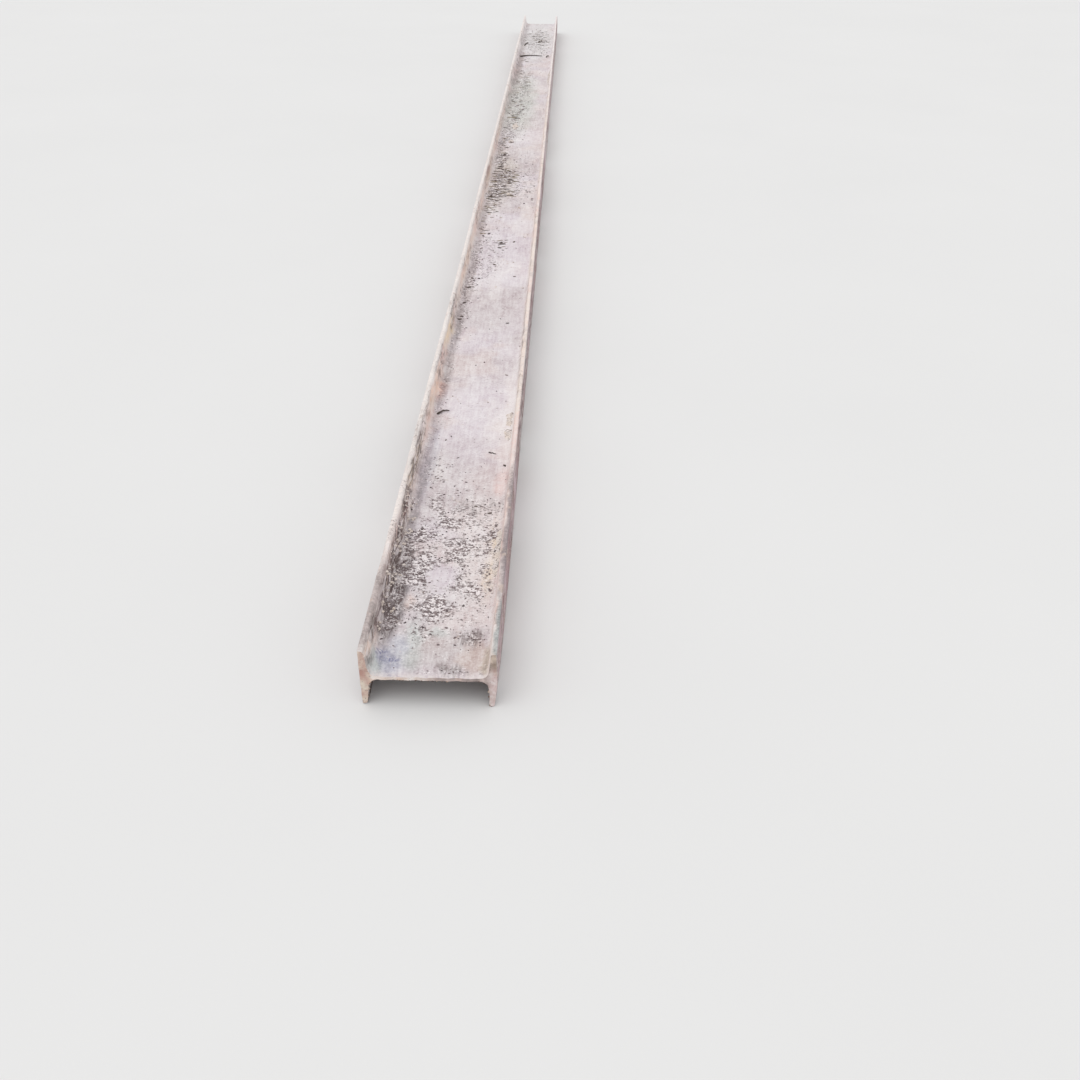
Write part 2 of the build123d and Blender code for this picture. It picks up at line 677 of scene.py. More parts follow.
# On the inner faces the stains are real marks whose colours are raised as painted light, to make up for the
# shade on the upright faces.
FLANGE_STAINS = stains(
    # Dirt and painted shade: the dark stains in this line and the next darken the lower inner face of the
    # left flange near the near end.
    (PURPLE_DIRT_AND_SHADE, -84, 110, 22, 60, 0.6), (ROOT_DIRT_AND_SHADE, -69, 160, 9, 110, 0.65),
    (KHAKI_DUST, -88, 62, 12, 30, 0.6), (GREY_ROOT_DIRT_AND_SHADE, -75, 235, 15, 105, 0.6),
    (GREY_FILM, -84, 275, 14, 22, 0.7), (MAROON_PRIMER, -76, 322, 9, 28, 0.9),
    (KHAKI_STREAK, -88, 400, 14, 90, 0.85), (KHAKI_STREAK, -80, 480, 9, 110, 0.7),
    (LIT_PALE_FLANGE, -92, 560, 12, 90, 0.6), (OCHRE_RUST, -78, 648, 7, 34, 0.5),
    (TAN_RUST_AND_LIGHT, -86, 700, 22, 95, 1.0), (PINK_PRIMER, -88, 815, 20, 50, 0.7),
    (WARM_KHAKI, -86, 925, 20, 90, 0.85), (WARM_KHAKI, -88, 1290, 14, 60, 0.5),
    (TAN_RUST_AND_LIGHT, -84, 1320, 18, 200, 0.6), (MAROON_PRIMER, -88, 1970, 20, 75, 0.6),
    # Painted highlight: the long strips at -94 mm and -98 mm round the skin on the left flange's upper tip,
    # and the short one at -94 mm near the near end.
    (PINK_PRIMER, -86, 3380, 26, 180, 0.4), (LIT_TIP_HIGHLIGHT, -94, 900, 8, 620, 0.9),
    (LIT_TIP_HIGHLIGHT, -98, 3000, 11, 6000, 0.95), (LIT_PALE_FLANGE, -94, 170, 6, 190, 0.85),
    # Partly painted shade: the dark stain at 102 mm round the skin, along the right flange's upper tip.
    (TIP_GREY, -98, 80, 10, 120, 0.95), (TIP_SHADE, 102, 262, 9, 225, 0.95),
    (TEAL_GREY, 103, 45, 7, 80, 0.9),
)

DIRT_PATCHES = patches(
    (-75, 205, 18, 180, 1.0), (-78, 330, 18, 70, 1.0), (-82, 440, 14, 120, 0.8), (-80, 530, 14, 100, 0.5),
    # The patch at -55 mm round the skin and 150 mm from the near end darkens the left root: dirt with painted
    # shade.
    (-84, 58, 14, 44, 0.8), (-55, 150, 11, 112, 0.8), (-88, 1040, 12, 90, 0.5), (42, 70, 18, 20, 0.5),
    (24, 14, 30, 14, 0.4), (30, 356, 40, 30, 0.3),
)

GRIT_PATCHES = patches(
    (4, 235, 90, 205, 0.52), (-57, 116, 15, 62, 0.7), (-55, 205, 14, 60, 0.74), (-40, 195, 10, 30, 1.0),
    (-33, 205, 18, 66, 0.9), (-80, 190, 22, 150, 0.5), (-80, 345, 22, 50, 0.55), (-84, 440, 16, 90, 0.35),
    (-29, 166, 6, 28, 1.0, 20), (-10, 124, 24, 38, 1.0), (38, 160, 11, 44, 0.85),
    (16, 212, 9, 34, 0.8, 20), (8, 242, 22, 30, 0.9), (19, 262, 12, 14, 0.95), (-30, 236, 12, 6, 0.95),
    (-30, 294, 24, 32, 0.85), (-50, 262, 12, 42, 0.7), (55, 262, 10, 80, 0.95), (4, 318, 26, 30, 0.75),
    (-28, 366, 22, 34, 0.7), (30, 350, 26, 18, 0.5), (42, 70, 20, 22, 0.55), (-16, 78, 16, 22, 0.6),
    (22, 14, 44, 14, 0.5), (-40, 450, 26, 70, 0.3), (-56, 860, 10, 420, 0.38), (-52, 1240, 14, 330, 0.6),
    (-30, 1400, 44, 260, 0.4), (-40, 1850, 30, 130, 1.0), (-26, 1980, 40, 130, 0.9),
    (-42, 2170, 26, 140, 0.85), (-50, 2420, 18, 300, 0.6), (20, 1950, 60, 300, 0.35),
    (-26, 2900, 44, 800, 0.5), (0, 4050, 66, 420, 0.5),
)

CLEAR_PATCHES = patches(
    (-3, 192, 22, 32, 0.85), (30, 200, 13, 40, 0.4), (50, 235, 10, 20, 0.35), (0, 40, 70, 50, 0.3),
    (-8, 285, 14, 12, 0.4), (20, 300, 18, 12, 0.4),
)

DULL_PATCHES = patches((100, 185, 12, 280, 0.9), (-99, 60, 14, 140, 0.95))

SLATE_PATCHES = patches((-58, 41, 9, 13, 1.0), (-44, 31, 14, 6, 1.0), (-50, 22, 8, 5, 0.6))

CRUST_PATCHES = patches(
    (62, 246, 8, 72, 1.0), (20, 236, 12, 10, 0.8), (58, 600, 8, 70, 0.9), (-22, 2560, 14, 60, 0.8),
    (66, 3300, 12, 160, 0.9),
)


@dataclass(frozen=True)
class SkinZones:
    """Distances round the skin from the middle of the web to where each of its strips ends.

    The strips are the trough with the flange's inner face, the tip, the outer face and the
    lower tip, which ends where the lower trough starts. The last distance is half way round.
    """

    trough: float
    tip: float
    outer: float
    under: float
    half: float


@dataclass(frozen=True)
class Places:
    """Distances round the skin and from the near end, and the points at which noises are read."""

    around: Array
    station: Array
    points: Array


def patches_share(spots: tuple[Patch, ...], places: Places, shift: object = 0.0) -> Array:
    """The largest share of any of the patches at each place, moved by the shift."""
    return np.max([spot.share(places.around + shift, places.station + shift) for spot in spots], axis=0)


def unrolled(around: Array, station: Array) -> Places:
    """Places whose points lie on the skin as it is unrolled."""
    return Places(around, station, np.stack([around, station, np.zeros(len(around))], axis=1))


@dataclass
class BeamSkin:
    """The rolled steel itself, with its dents, scale, worn tips and cut ends.

    Attributes:
        section: The rolled section.
        length: Length over both cut ends.
        web_height: Height of the web's middle plane above the floor.
        near_cut: The near end's torch cut.
        far_cut: The far end's torch cut.
        coarse_step: Distance between rings in the middle of the beam.
        near_rings: Distance between rings at the near end, where it ends, and where it is coarse.
        far_rings: The same at the far end.
        lip: Distance of the second ring from a cut edge.
        melt: How far the torch rounded the cut's edges.
        melt_reach: How far behind the cut they are rounded.
        wave: Depth of the long waves in the rolled faces.
        pit: Depth of the rust pits.
        scale: Thickness of the scale, which is lost in patches.
        lean: How far the flanges' tips stray inwards.
        foot_lean: How far the near end of the right flange's foot is knocked inwards.
        foot_reach: Length of that knocked stretch.
        nick: Depth of the nicks in the tips.
        edge: Distances below a tip at which its nicks start and are whole.
        film_losses: Dust lost on the flanges' inner faces, outer faces and undersides.
        rubbed_edge: Distances from the middle of a tip at which its rubbing starts to fade and ends.
        rubbed_end: The same from a cut.
        ring: Points round the section.
        normals: Outward normals at those points.
        around: Distances of those points round the skin.
        zones: The strips of the skin.
    """

    section: RolledSection
    length: float
    web_height: float
    near_cut: TorchCut
    far_cut: TorchCut
    coarse_step: float = 18.0 * MM
    near_rings: Triple = (3.1 * MM, 0.66, 3.2 * 0.66)
    far_rings: Triple = (4.2 * MM, 0.18, 5.0 * 0.18)
    lip: float = 0.7 * MM
    melt: float = 0.6 * MM
    melt_reach: float = 2.0 * MM
    wave: float = 0.28 * MM
    pit: float = 0.22 * MM
    scale: float = 0.24 * MM
    lean: float = 1.3 * MM
    foot_lean: float = 2.6 * MM
    foot_reach: float = 0.11
    nick: float = 1.3 * MM
    edge: Pair = (3.2 * MM, 0.6 * MM)
    film_losses: Triple = (0.12, 0.24, 0.26)
    rubbed_edge: Pair = (3 * MM, 8 * MM)
    rubbed_end: Pair = (1 * MM, 9 * MM)
    ring: Array = field(init=False)
    normals: Array = field(init=False)
    around: Array = field(init=False)
    zones: SkinZones = field(init=False)

    def __post_init__(self) -> None:
        """Works out the ring's points, outward normals, distances round and zones."""
        self.ring = self.section.ring()
        tangent = np.roll(self.ring, -1, axis=0) - np.roll(self.ring, 1, axis=0)
        outward = np.stack([tangent[:, 1], -tangent[:, 0]], axis=1)
        self.normals = outward / np.linalg.norm(outward, axis=1, keepdims=True)
        steps = np.linalg.norm(np.roll(self.ring, -1, axis=0) - self.ring, axis=1)
        upper, _ = self.section.web_rows()
        middle = upper[self.section.web_steps // 2]
        travelled = np.concatenate([[0.0], np.cumsum(steps)[:-1]])
        half = steps.sum() / 2
        self.around = (travelled[middle] - travelled + half) % (2 * half) - half
        outer, before, after = self.section.flange_rows(0)
        ends = (after[-1], outer[-1], outer[0], before[0])
        self.zones = SkinZones(*(self.around[row] for row in ends), half)

    def stations(self) -> Array:
        """Distances of the rings from the near end.

        The wanted step at each place is known, so the count of rings up to a place is the
        sum of 1 / step, and the rings stand where that count is a whole number. One more
        ring stands a lip's width behind each cut.

        Returns:
            The distances, in order.
        """
        grid = np.linspace(0.0, self.length, STATION_SAMPLES)
        steps = [
            between(fine, self.coarse_step, smooth_step(gap, holds, coarse))
            for gap, (fine, holds, coarse) in ((grid, self.near_rings), (self.length - grid, self.far_rings))
        ]
        step = np.minimum(*steps)
        counted = np.concatenate([[0.0], np.cumsum(np.diff(grid) / step[:-1])])
        wanted = np.linspace(0.0, counted[-1], math.ceil(counted[-1]) + 1)
        lips = [self.lip, self.length - self.lip]
        return np.sort(np.concatenate([np.interp(wanted, counted, grid), lips]))

    def relief(self, points: Array) -> Array:
        """How far the steel lies under its rolled surface: long waves, rust pits and lost scale.

        Args:
            points: Places on the rolled surface.

        Returns:
            One depth for each place, never negative.
        """
        waves = self.wave * fractal_noise(points, 0.055, seed=11)
        pits = self.pit * clouds(points, 0.009, 23, 0.5, 0.8)
        scale = self.scale * clouds(points, 0.021, 37, 0.56, 0.66, octaves=1)
        return waves + pits + scale

    def bend(self, points: Array, station: Array) -> Array:
        """Moves the flanges' tips inwards and nicks their edges.

        A tip strays by lean times noise along the beam, in the square of its distance from
        the web. The foot's knock fades along foot_reach. A nick lowers the last few
        millimetres of a tip.

        Args:
            points: Points of the skin about the web's middle plane.
            station: Each point's distance from the near end.

        Returns:
            The moved points.
        """
        moved = points.copy()
        side = np.sign(points[:, 0])
        level = np.sign(points[:, 2])
        height = np.abs(points[:, 2])
        tip = self.section.flange / 2
        reach = np.clip(height / tip, 0.0, 1.0) ** 2
        quarters = np.stack([side, station, level], axis=1)
        sway = self.lean * lattice_noise(quarters, 0.34, seed=51)
        foot = (side > 0) & (level < 0)
        knock = self.foot_lean * (1.0 - smooth_step(station, 0.0, self.foot_reach)) * foot
        moved[:, 0] -= side * (sway + knock) * reach
        edge = smooth_step(height, tip - self.edge[0], tip - self.edge[1])
        rough = 0.35 * fractal_noise(quarters, 0.007, seed=61)
        chips = clouds(quarters, 0.024, 67, 0.52, 0.82)
        moved[:, 2] -= level * edge * self.nick * (rough + chips)
        return moved

    def carried(self, flat: Array, normal: Array, station: Array,
                height: Array, shift: object = 0.0) -> Array:
        """Carries points of the ring along the beam.

        Each goes out along its normal by the height less the relief. Then the flanges are
        bent and the whole is put in its place.

        Args:
            flat: Points of the ring, x and z each.
            normal: Outward normals at those points.
            station: Distances from the near end.
            height: Heights over the skin.
            shift: What is added to Y.

        Returns:
            The points in space.
        """
        rolled = np.stack([flat[:, 0], station, flat[:, 1]], axis=1)
        outward = np.stack([normal[:, 0], np.zeros(len(normal)), normal[:, 1]], axis=1)
        rise = height - self.relief(rolled)
        points = self.bend(rolled + outward * rise[:, None], station)
        points[:, 1] += shift - self.length / 2
        points[:, 2] += self.web_height
        return points

    def at(self, around: Array, values: Array) -> Array:
        """Reads the ring's points or normals between its own points.

        Args:
            around: Distances round the skin.
            values: The ring's points or normals.

        Returns:
            One point or normal for each distance.
        """
        order = np.argsort(self.around)
        turn = self.around[order]
        return np.stack([np.interp(around, turn, column[order]) for column in values.T], axis=1)

    def place(self, around: Array, station: Array, height: Array) -> Array:
        """Points over the skin, given by their place on it and their height over it."""
        return self.carried(self.at(around, self.ring), self.at(around, self.normals), station, height)

    def sides(self) -> Places:
        """Places of the skin between the cuts.

        The ring is let in where the torch melted its edge. Near an end, Y takes in the
        cut's recess, faded over the cut's reach, so that the end ring lies on the torch's
        line.

        Returns:
            The places, ring by ring.
        """
        stations = self.stations()
        rows = len(stations)
        station = np.repeat(stations, len(self.ring))
        flat = np.tile(self.ring, (rows, 1))
        to_end = np.minimum(station, self.length - station)
        melted = self.melt * (1.0 - smooth_step(to_end, 0.0, self.melt_reach))
        near, far = (
            cut.recess(self.section, *flat.T) * (1.0 - smooth_step(gap, 0.0, cut.reach))
            for cut, gap in ((self.near_cut, station), (self.far_cut, self.length - station))
        )
        points = self.carried(flat, np.tile(self.normals, (rows, 1)), station, -melted, near - far)
        return Places(np.tile(self.around, rows), station, points)

    def end_face(self, end_ring: Array) -> Arrays:
        """The cut face at one end: a patch over each flange's end and one over the web's.

        A flange's patch runs from its outer column of points to its inner one, with the
        middle of the web's edge between the two halves of the inner one. A point between
        two columns is their average.

        Args:
            end_ring: Points of the ring at that end.

        Returns:
            The new points and their quads.
        """
        parts = []
        for side in (0, 1):
            outer, before, after = self.section.flange_rows(side)
            middle = (end_ring[before[-1]] + end_ring[after[0]])[None] / 2
            inner = np.concatenate([end_ring[before], middle, end_ring[after]])
            rim = end_ring[outer]
            halfway = (rim + inner) / 2
            halfway[-1] = end_ring[(outer[-1] + 1) % len(end_ring)]
            halfway[0] = end_ring[(outer[0] - 1) % len(end_ring)]
            points = np.stack([rim, halfway, inner], axis=1).reshape(-1, 3)
            parts.append((points, grid_faces(len(outer), 3)))
        upper, lower = (end_ring[rows] for rows in self.section.web_rows())
        parts.append((np.concatenate([upper, (upper + lower) / 2, lower]), grid_faces(3, len(upper))))
        return join(parts)

    def tone(self, places: Places) -> Array:
        """Broad colour of the skin: the colour of its zone, clouded by noise, with the stains over it.

        Args:
            places: Places on the skin.

        Returns:
            One linear colour and alpha for each place.
        """
        around, station, points = places.around, places.station, places.points
        distance = np.abs(around)
        root, zones = self.section.root, self.zones
        cover = (
            clouds(points, 0.17, 71, 0.36, 0.62),
            clouds(points, 0.085, 73, 0.53, 0.66),
            clouds(points * [1.0, 0.3, 1.0], 0.042, 79, 0.55, 0.68),
        )
        web, inner, outer, under = (clouded(*row, cover) for row in ZONE_TONES)
        # Painted light: the far inner faces are paled towards white.
        inner = blend(inner, LIT_FAR_FLANGE, 0.85 * smooth_step(station, 2.5, 3.6))
        colour = blend(web, inner, smooth_step(distance, root - 6 * MM, root + 8 * MM))
        colour = blend(colour, outer, smooth_step(distance, zones.trough, zones.tip + 4 * MM))
        colour = blend(colour, under, smooth_step(distance, zones.outer - 6 * MM, zones.under))
        ragged = stray(points, 0.03, 83, 0.045, octaves=4)
        for spot in WEB_STAINS + FLANGE_STAINS:
            wobble = ragged * min(1.0, spot.patch.half_width / STEADY_WIDTH)
            share = spot.patch.share(around + wobble, station + wobble * 2)
            colour = blend(colour, spot.colour, share)
        return np.concatenate([colour, np.ones((len(colour), 1))], axis=1)

    def film(self, places: Places) -> Array:
        """Cover of lime dust: thick on the web, thinner on the flanges and almost none below.

        Args:
            places: Places on the skin.

        Returns:
            One cover from 0 to 1 for each place.
        """
        distance = np.abs(places.around)
        root, zones = self.section.root, self.zones
        starts = (root, zones.tip, zones.outer - 8 * MM)
        ends = (root + 14 * MM, zones.tip + 8 * MM, zones.under)
        cover = 1.0
        for loss, start, end in zip(self.film_losses, starts, ends):
            cover = cover - loss * smooth_step(distance, start, end)
        return np.clip(cover + stray(places.points, 0.12, 97, 0.45), 0.0, 1.0)

    def grit(self, places: Places) -> Array:
        """Cover of dark grit: its patches, broken up by noise, less the clear patches.

        Args:
            places: Places on the skin.

        Returns:
            One cover from 0 to 1 for each place.
        """
        ragged = stray(places.points, 0.026, 101, 0.05)
        share = patches_share(GRIT_PATCHES, places, ragged)
        broken = clouds(places.points, 0.018, 103, 0.2, 0.7)
        clear = patches_share(CLEAR_PATCHES, places, 0.4 * ragged)
        return share * (0.65 + 0.35 * broken) * (1.0 - clear)

    def dirt(self, places: Places) -> Array:
        """Strength of the dark marbling: its patches, some on every flange, and little on the web.

        Args:
            places: Places on the skin.

        Returns:
            One strength for each place.
        """
        distance = np.abs(places.around)
        root = self.section.root
        flange = 0.45 * smooth_step(distance, root - 4 * MM, root + 10 * MM)
        flange *= 1.0 - 0.35 * smooth_step(places.station, 1.0, 1.3)
        flange *= 1.0 - 0.65 * self.upper_edge(places.around)
        flange *= 0.2 + 1.25 * clouds(places.points * [1.0, 0.5, 1.0], 0.05, 113, 0.45, 0.6)
        below = 0.3 * smooth_step(distance, self.zones.outer - 8 * MM, self.zones.under)
        ragged = stray(places.points, 0.02, 109, 0.02)
        spots = patches_share(DIRT_PATCHES, places, ragged)
        return np.maximum(flange + below, spots)

    def slate(self, places: Places) -> Array:
        """Strength of the blue scribbles near the left corner of the near end."""
        return patches_share(SLATE_PATCHES, places)

    def upper_edge(self, around: Array) -> Array:
        """1 on the upper tips of the flanges, fading to 0 a few millimetres on."""
        return self.near_edge(around, self.zones.trough, self.zones.tip)

    def near_edge(self, around: Array, start: float, end: float) -> Array:
        """1 in the middle of the strip from start to end, fading to 0 beyond it."""
        return 1.0 - smooth_step(np.abs(np.abs(around) - (start + end) / 2), *self.rubbed_edge)

    def wear(self, places: Places) -> Array:
        """Rubbed edges: the flanges' tips, less a dull stretch, and the last millimetres before a cut.

        Args:
            places: Places on the skin.

        Returns:
            One strength for each place.
        """
        lower = self.near_edge(places.around, self.zones.outer, self.zones.under)
        to_end = np.minimum(places.station, self.length - places.station)
        ends = 1.0 - smooth_step(to_end, *self.rubbed_end)
        worn = np.maximum.reduce([self.upper_edge(places.around), lower, ends])
        return worn * (1.0 - patches_share(DULL_PATCHES, places))

    def build(self) -> Piece:
        """Makes the skin: its sides, its two cut faces and what its finish reads from it.

        Returns:
            The piece, which replaces the plain solid.
        """
        sides = self.sides()
        columns = len(self.ring)
        side_faces = grid_faces(len(sides.points) // columns, columns, around=True)
        near = self.end_face(sides.points[:columns])
        far = self.end_face(sides.points[-columns:])
        points, faces = join([(sides.points, side_faces), near, far])
        places = Places(
            np.concatenate([sides.around, np.zeros(len(points) - len(sides.points))]),
            np.concatenate([sides.station, np.zeros(len(near[0])), np.full(len(far[0]), self.length)]),
            points,
        )
        mesh = mesh_from_arrays("beam_skin", points, faces)
        cut_faces = np.arange(len(faces)) >= len(side_faces)
        mesh.polygons.foreach_set("material_index", cut_faces.astype(np.int32))
        for name in ("tone", "film", "grit", "dirt", "wear", "slate"):
            add_attribute(mesh, name, getattr(self, name)(places))
        close_and_face_out(mesh)
        mesh.set_sharp_from_angle(angle=SHARP_ANGLE)
        piece = new_object("beam_skin", mesh)
        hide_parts(NODE)
        return piece


def add_attribute(mesh: Mesh, name: str, values: Array) -> None:
    """Stores a number or a colour for each point of the mesh.

    Args:
        mesh: The mesh.
        name: Name that the finish reads.
        values: Numbers, or rows of red, green, blue and alpha.
    """
    kind, key = ("FLOAT", "value") if values.ndim == 1 else ("FLOAT_COLOR", "color")
    layer = mesh.attributes.new(name, kind, "POINT")
    layer.data.foreach_set(key, values.astype(np.float32).ravel())


def round_form(detail: int) -> Arrays:
    """An icosphere of radius 1.

    Args:
        detail: How often it is divided.

    Returns:
        Its points and triangles.
    """
    form = bmesh.new()
    bmesh.ops.create_icosphere(form, subdivisions=detail, radius=1.0)
    points = np.array([vertex.co[:] for vertex in form.verts])
    faces = np.array([[vertex.index for vertex in face.verts] for face in form.faces])
    form.free()
    return points, faces


def stones(name: str, centres: Array, sizes: Array, seed: int, detail: int = 1,
           swing: float = math.pi, smooth: bool = False) -> Piece:
    """Many small stones in one piece.

    Each is a round form whose points are pulled in or out at random, turned about Z,
    stretched to its own half sizes, and moved to its centre. Its shade, one random
    number, is stored on its points.

    Args:
        name: Name of the piece.
        centres: Centre of each stone.
        sizes: Half sizes of each stone along its own X, Y and Z.
        seed: Choice of the random numbers.
        detail: Fineness of the round form.
        swing: Farthest turn about Z, either way.
        smooth: Whether the stones are smooth shaded.

    Returns:
        The piece.
    """
    chance = np.random.default_rng(seed)
    form, faces = round_form(detail)
    count = len(centres)
    pulled = form[None] * chance.uniform(*STONE_PULL, (count, len(form), 1)) * sizes[:, None, :]
    turn = chance.uniform(-swing, swing, count)[:, None]
    turned_x = pulled[..., 0] * np.cos(turn) - pulled[..., 1] * np.sin(turn)
    turned_y = pulled[..., 0] * np.sin(turn) + pulled[..., 1] * np.cos(turn)
    points = np.stack([turned_x, turned_y, pulled[..., 2]], axis=-1) + centres[:, None, :]
    numbers = faces[None] + (np.arange(count) * len(form))[:, None, None]
    mesh = mesh_from_arrays(name, points.reshape(-1, 3), numbers.reshape(-1, 3), smooth)
    add_attribute(mesh, "shade", np.repeat(chance.random(count), len(form)))
    return new_object(name, mesh)


def scatter(chance: Chance, tries: int, reach: float, start: float, end: float,
            cover: Callable[[Places], Array]) -> Places:
    """Tries places at random and keeps each as often as the cover there says.

    Args:
        chance: Source of the random numbers.
        tries: How many places are tried.
        reach: Farthest place from the middle of the web, either way.
        start: Nearest place along the beam.
        end: Farthest place along the beam.
        cover: Gives each place's share of keeping.

    Returns:
        The places that are kept.
    """
    around = chance.uniform(-reach, reach, tries)
    station = chance.uniform(start, end, tries)
    kept = chance.random(tries) < cover(unrolled(around, station))
    return unrolled(around[kept], station[kept])


@dataclass
class OnSkin:
    """Something that lies on the skin or is stuck to it."""

    skin: BeamSkin


@dataclass
class LooseGrit(OnSkin):
    """Crumbs of dirt, scale and mortar lying in the trough, thick where the grit patches are.

    Attributes:
        start: Nearest place along the beam.
        near_reach: Length of the stretch with the fine crumbs.
        end_gap: Distance of the last crumbs from the far end.
        tries: How many crumbs of each kind are tried.
        strewn: Cover outside the grit patches.
        fine: Smallest and largest half width of a fine crumb.
        coarse: Smallest and largest half width of a coarse crumb.
    """

    start: float = 8 * MM
    near_reach: float = 0.7
    end_gap: float = 20 * MM
    tries: int = 6500
    strewn: float = 0.025
    fine: Pair = (0.4 * MM, 1.6 * MM)
    coarse: Pair = (0.7 * MM, 2.8 * MM)

    def cover(self, places: Places) -> Array:
        """How thick the crumbs lie: a few everywhere, and more in the grit patches."""
        return self.strewn + self.skin.grit(places)

    def crumbs(self, chance: Chance, start: float, end: float,
               widths: Pair) -> Arrays:
        """The crumbs of one stretch, most of them small.

        Args:
            chance: Source of the random numbers.
            start: Nearest place along the beam.
            end: Farthest place along the beam.
            widths: Smallest and largest half width.

        Returns:
            Centres and half sizes of the crumbs.
        """
        reach = self.skin.section.root - 1 * MM
        kept = scatter(chance, self.tries, reach, start, end, self.cover)
        width = between(*widths, chance.random(len(kept.around)) ** 2.2)
        sizes = width[:, None] * chance.uniform([0.7, 0.45, 0.35], [2.0, 1.1, 0.7], (len(width), 3))
        return self.skin.place(kept.around, kept.station, 0.35 * sizes[:, 2]), sizes

    def build(self) -> Piece:
        """Makes the fine and the coarse crumbs in one piece.

        Returns:
            The piece.
        """
        chance = np.random.default_rng(7)
        near = self.crumbs(chance, self.start, self.near_reach, self.fine)
        far = self.crumbs(chance, self.near_reach, self.skin.length - self.end_gap, self.coarse)
        centres, sizes = (np.concatenate(pair) for pair in zip(near, far))
        return stones("loose_grit", centres, sizes, seed=8)


BARK_PATCHES = patches(
    (-44, 1800, 26, 150, 1.0), (-20, 1930, 50, 150, 1.0), (-40, 2060, 30, 140, 0.9),
    (-48, 2280, 22, 200, 0.7), (-52, 1620, 18, 160, 0.5), (0, 1450, 36, 60, 0.3),
    (-36, 2750, 34, 420, 0.24), (-30, 3400, 40, 420, 0.16), (0, 4130, 60, 260, 0.28),
)


@dataclass
class BarkLitter(OnSkin):
    """Slivers of bark and dry leaf that lie thick in the middle of the trough.

    Attributes:
        tries: How many places are tried.
        start: Nearest place along the beam.
        end_gap: Distance of the last slivers from the far end.
        smallest: Half sizes of the smallest sliver.
        largest: Half sizes of the largest one.
        swing: Farthest turn of a sliver from lying straight across the beam.
    """

    tries: int = 4600
    start: float = 1.3
    end_gap: float = 40 * MM
    smallest: Triple = (1.8 * MM, 0.6 * MM, 0.25 * MM)
    largest: Triple = (14.0 * MM, 2.2 * MM, 0.8 * MM)
    swing: float = math.radians(32.0)

    def cover(self, places: Places) -> Array:
        """How thick the slivers lie: the largest share of the bark patches."""
        return patches_share(BARK_PATCHES, places)

    def build(self) -> Piece:
        """Scatters the slivers and makes them in one piece, most of them small.

        Returns:
            The piece.
        """
        chance = np.random.default_rng(61)
        reach = self.skin.section.root - 5 * MM
        end = self.skin.length - self.end_gap
        kept = scatter(chance, self.tries, reach, self.start, end, self.cover)
        share = chance.random((len(kept.around), 1)) ** 1.8
        sizes = between(np.array(self.smallest), np.array(self.largest), share)
        sizes = sizes * chance.uniform(0.7, 1.3, sizes.shape)
        centres = self.skin.place(kept.around, kept.station, 0.8 * sizes[:, 2])
        return stones("bark_litter", centres, sizes, seed=62, swing=self.swing)


@dataclass
class LimeCrust(OnSkin):
    """Thin raised patches of old lime and mortar that stuck to the skin.

    Attributes:
        thickness: Thickness at their middle.
        bury: How far a patch's rim lies under the skin.
        back: How much deeper its back lies.
        cell: Distance between the points of a patch.
        margin: How many times its half sizes a patch's grid reaches.
    """

    thickness: float = 0.9 * MM
    bury: float = 0.35 * MM
    back: float = 1 * MM
    cell: float = 1.7 * MM
    margin: float = 1.2

    def slab(self, spot: Patch) -> Arrays:
        """One patch as a closed slab.

        Its upper side stands over the skin by thickness times a mask that is 1 inside the
        patch's ragged outline and 0 outside, less the burial, so it shows only inside the
        outline. Its back lies deeper.

        Args:
            spot: Where the patch is.

        Returns:
            Its points and quads.
        """
        columns = max(5, round(2 * self.margin * spot.half_width / self.cell))
        rows = max(7, round(2 * self.margin * spot.half_length / max(self.cell, spot.half_length / 60)))
        grids = np.meshgrid(np.linspace(-1.0, 1.0, columns), np.linspace(-1.0, 1.0, rows))
        right, ahead = (grid.ravel() for grid in grids)
        around = spot.across + self.margin * spot.half_width * right
        station = spot.along + self.margin * spot.half_length * ahead
        points = unrolled(around, station).points
        mask = smooth_step(spot.share(around, station) + stray(points, 0.014, 131, 1.5), 0.45, 0.62)
        lumps = 0.45 + 0.55 * fractal_noise(points, 0.006, seed=137)
        rise = self.thickness * mask * lumps - self.bury
        rise = np.where(np.maximum(np.abs(right), np.abs(ahead)) == 1.0, -self.bury, rise)
        upper = self.skin.place(around, station, rise)
        lower = self.skin.place(around, station, np.full(len(rise), -self.bury - self.back))
        count = rows * columns
        top = grid_faces(rows, columns)
        numbers = np.arange(count).reshape(rows, columns)
        rim = np.concatenate([numbers[0, :-1], numbers[:-1, -1], numbers[-1, :0:-1], numbers[:0:-1, 0]])
        following = np.roll(rim, -1)
        wall = np.stack([rim, rim + count, following + count, following], axis=1)
        faces = np.concatenate([top, top[:, ::-1] + count, wall])
        return np.concatenate([upper, lower]), faces

    def build(self) -> Piece:
        """Makes every patch in one piece."""
        return closed_piece("lime_crust", [self.slab(spot) for spot in CRUST_PATCHES])


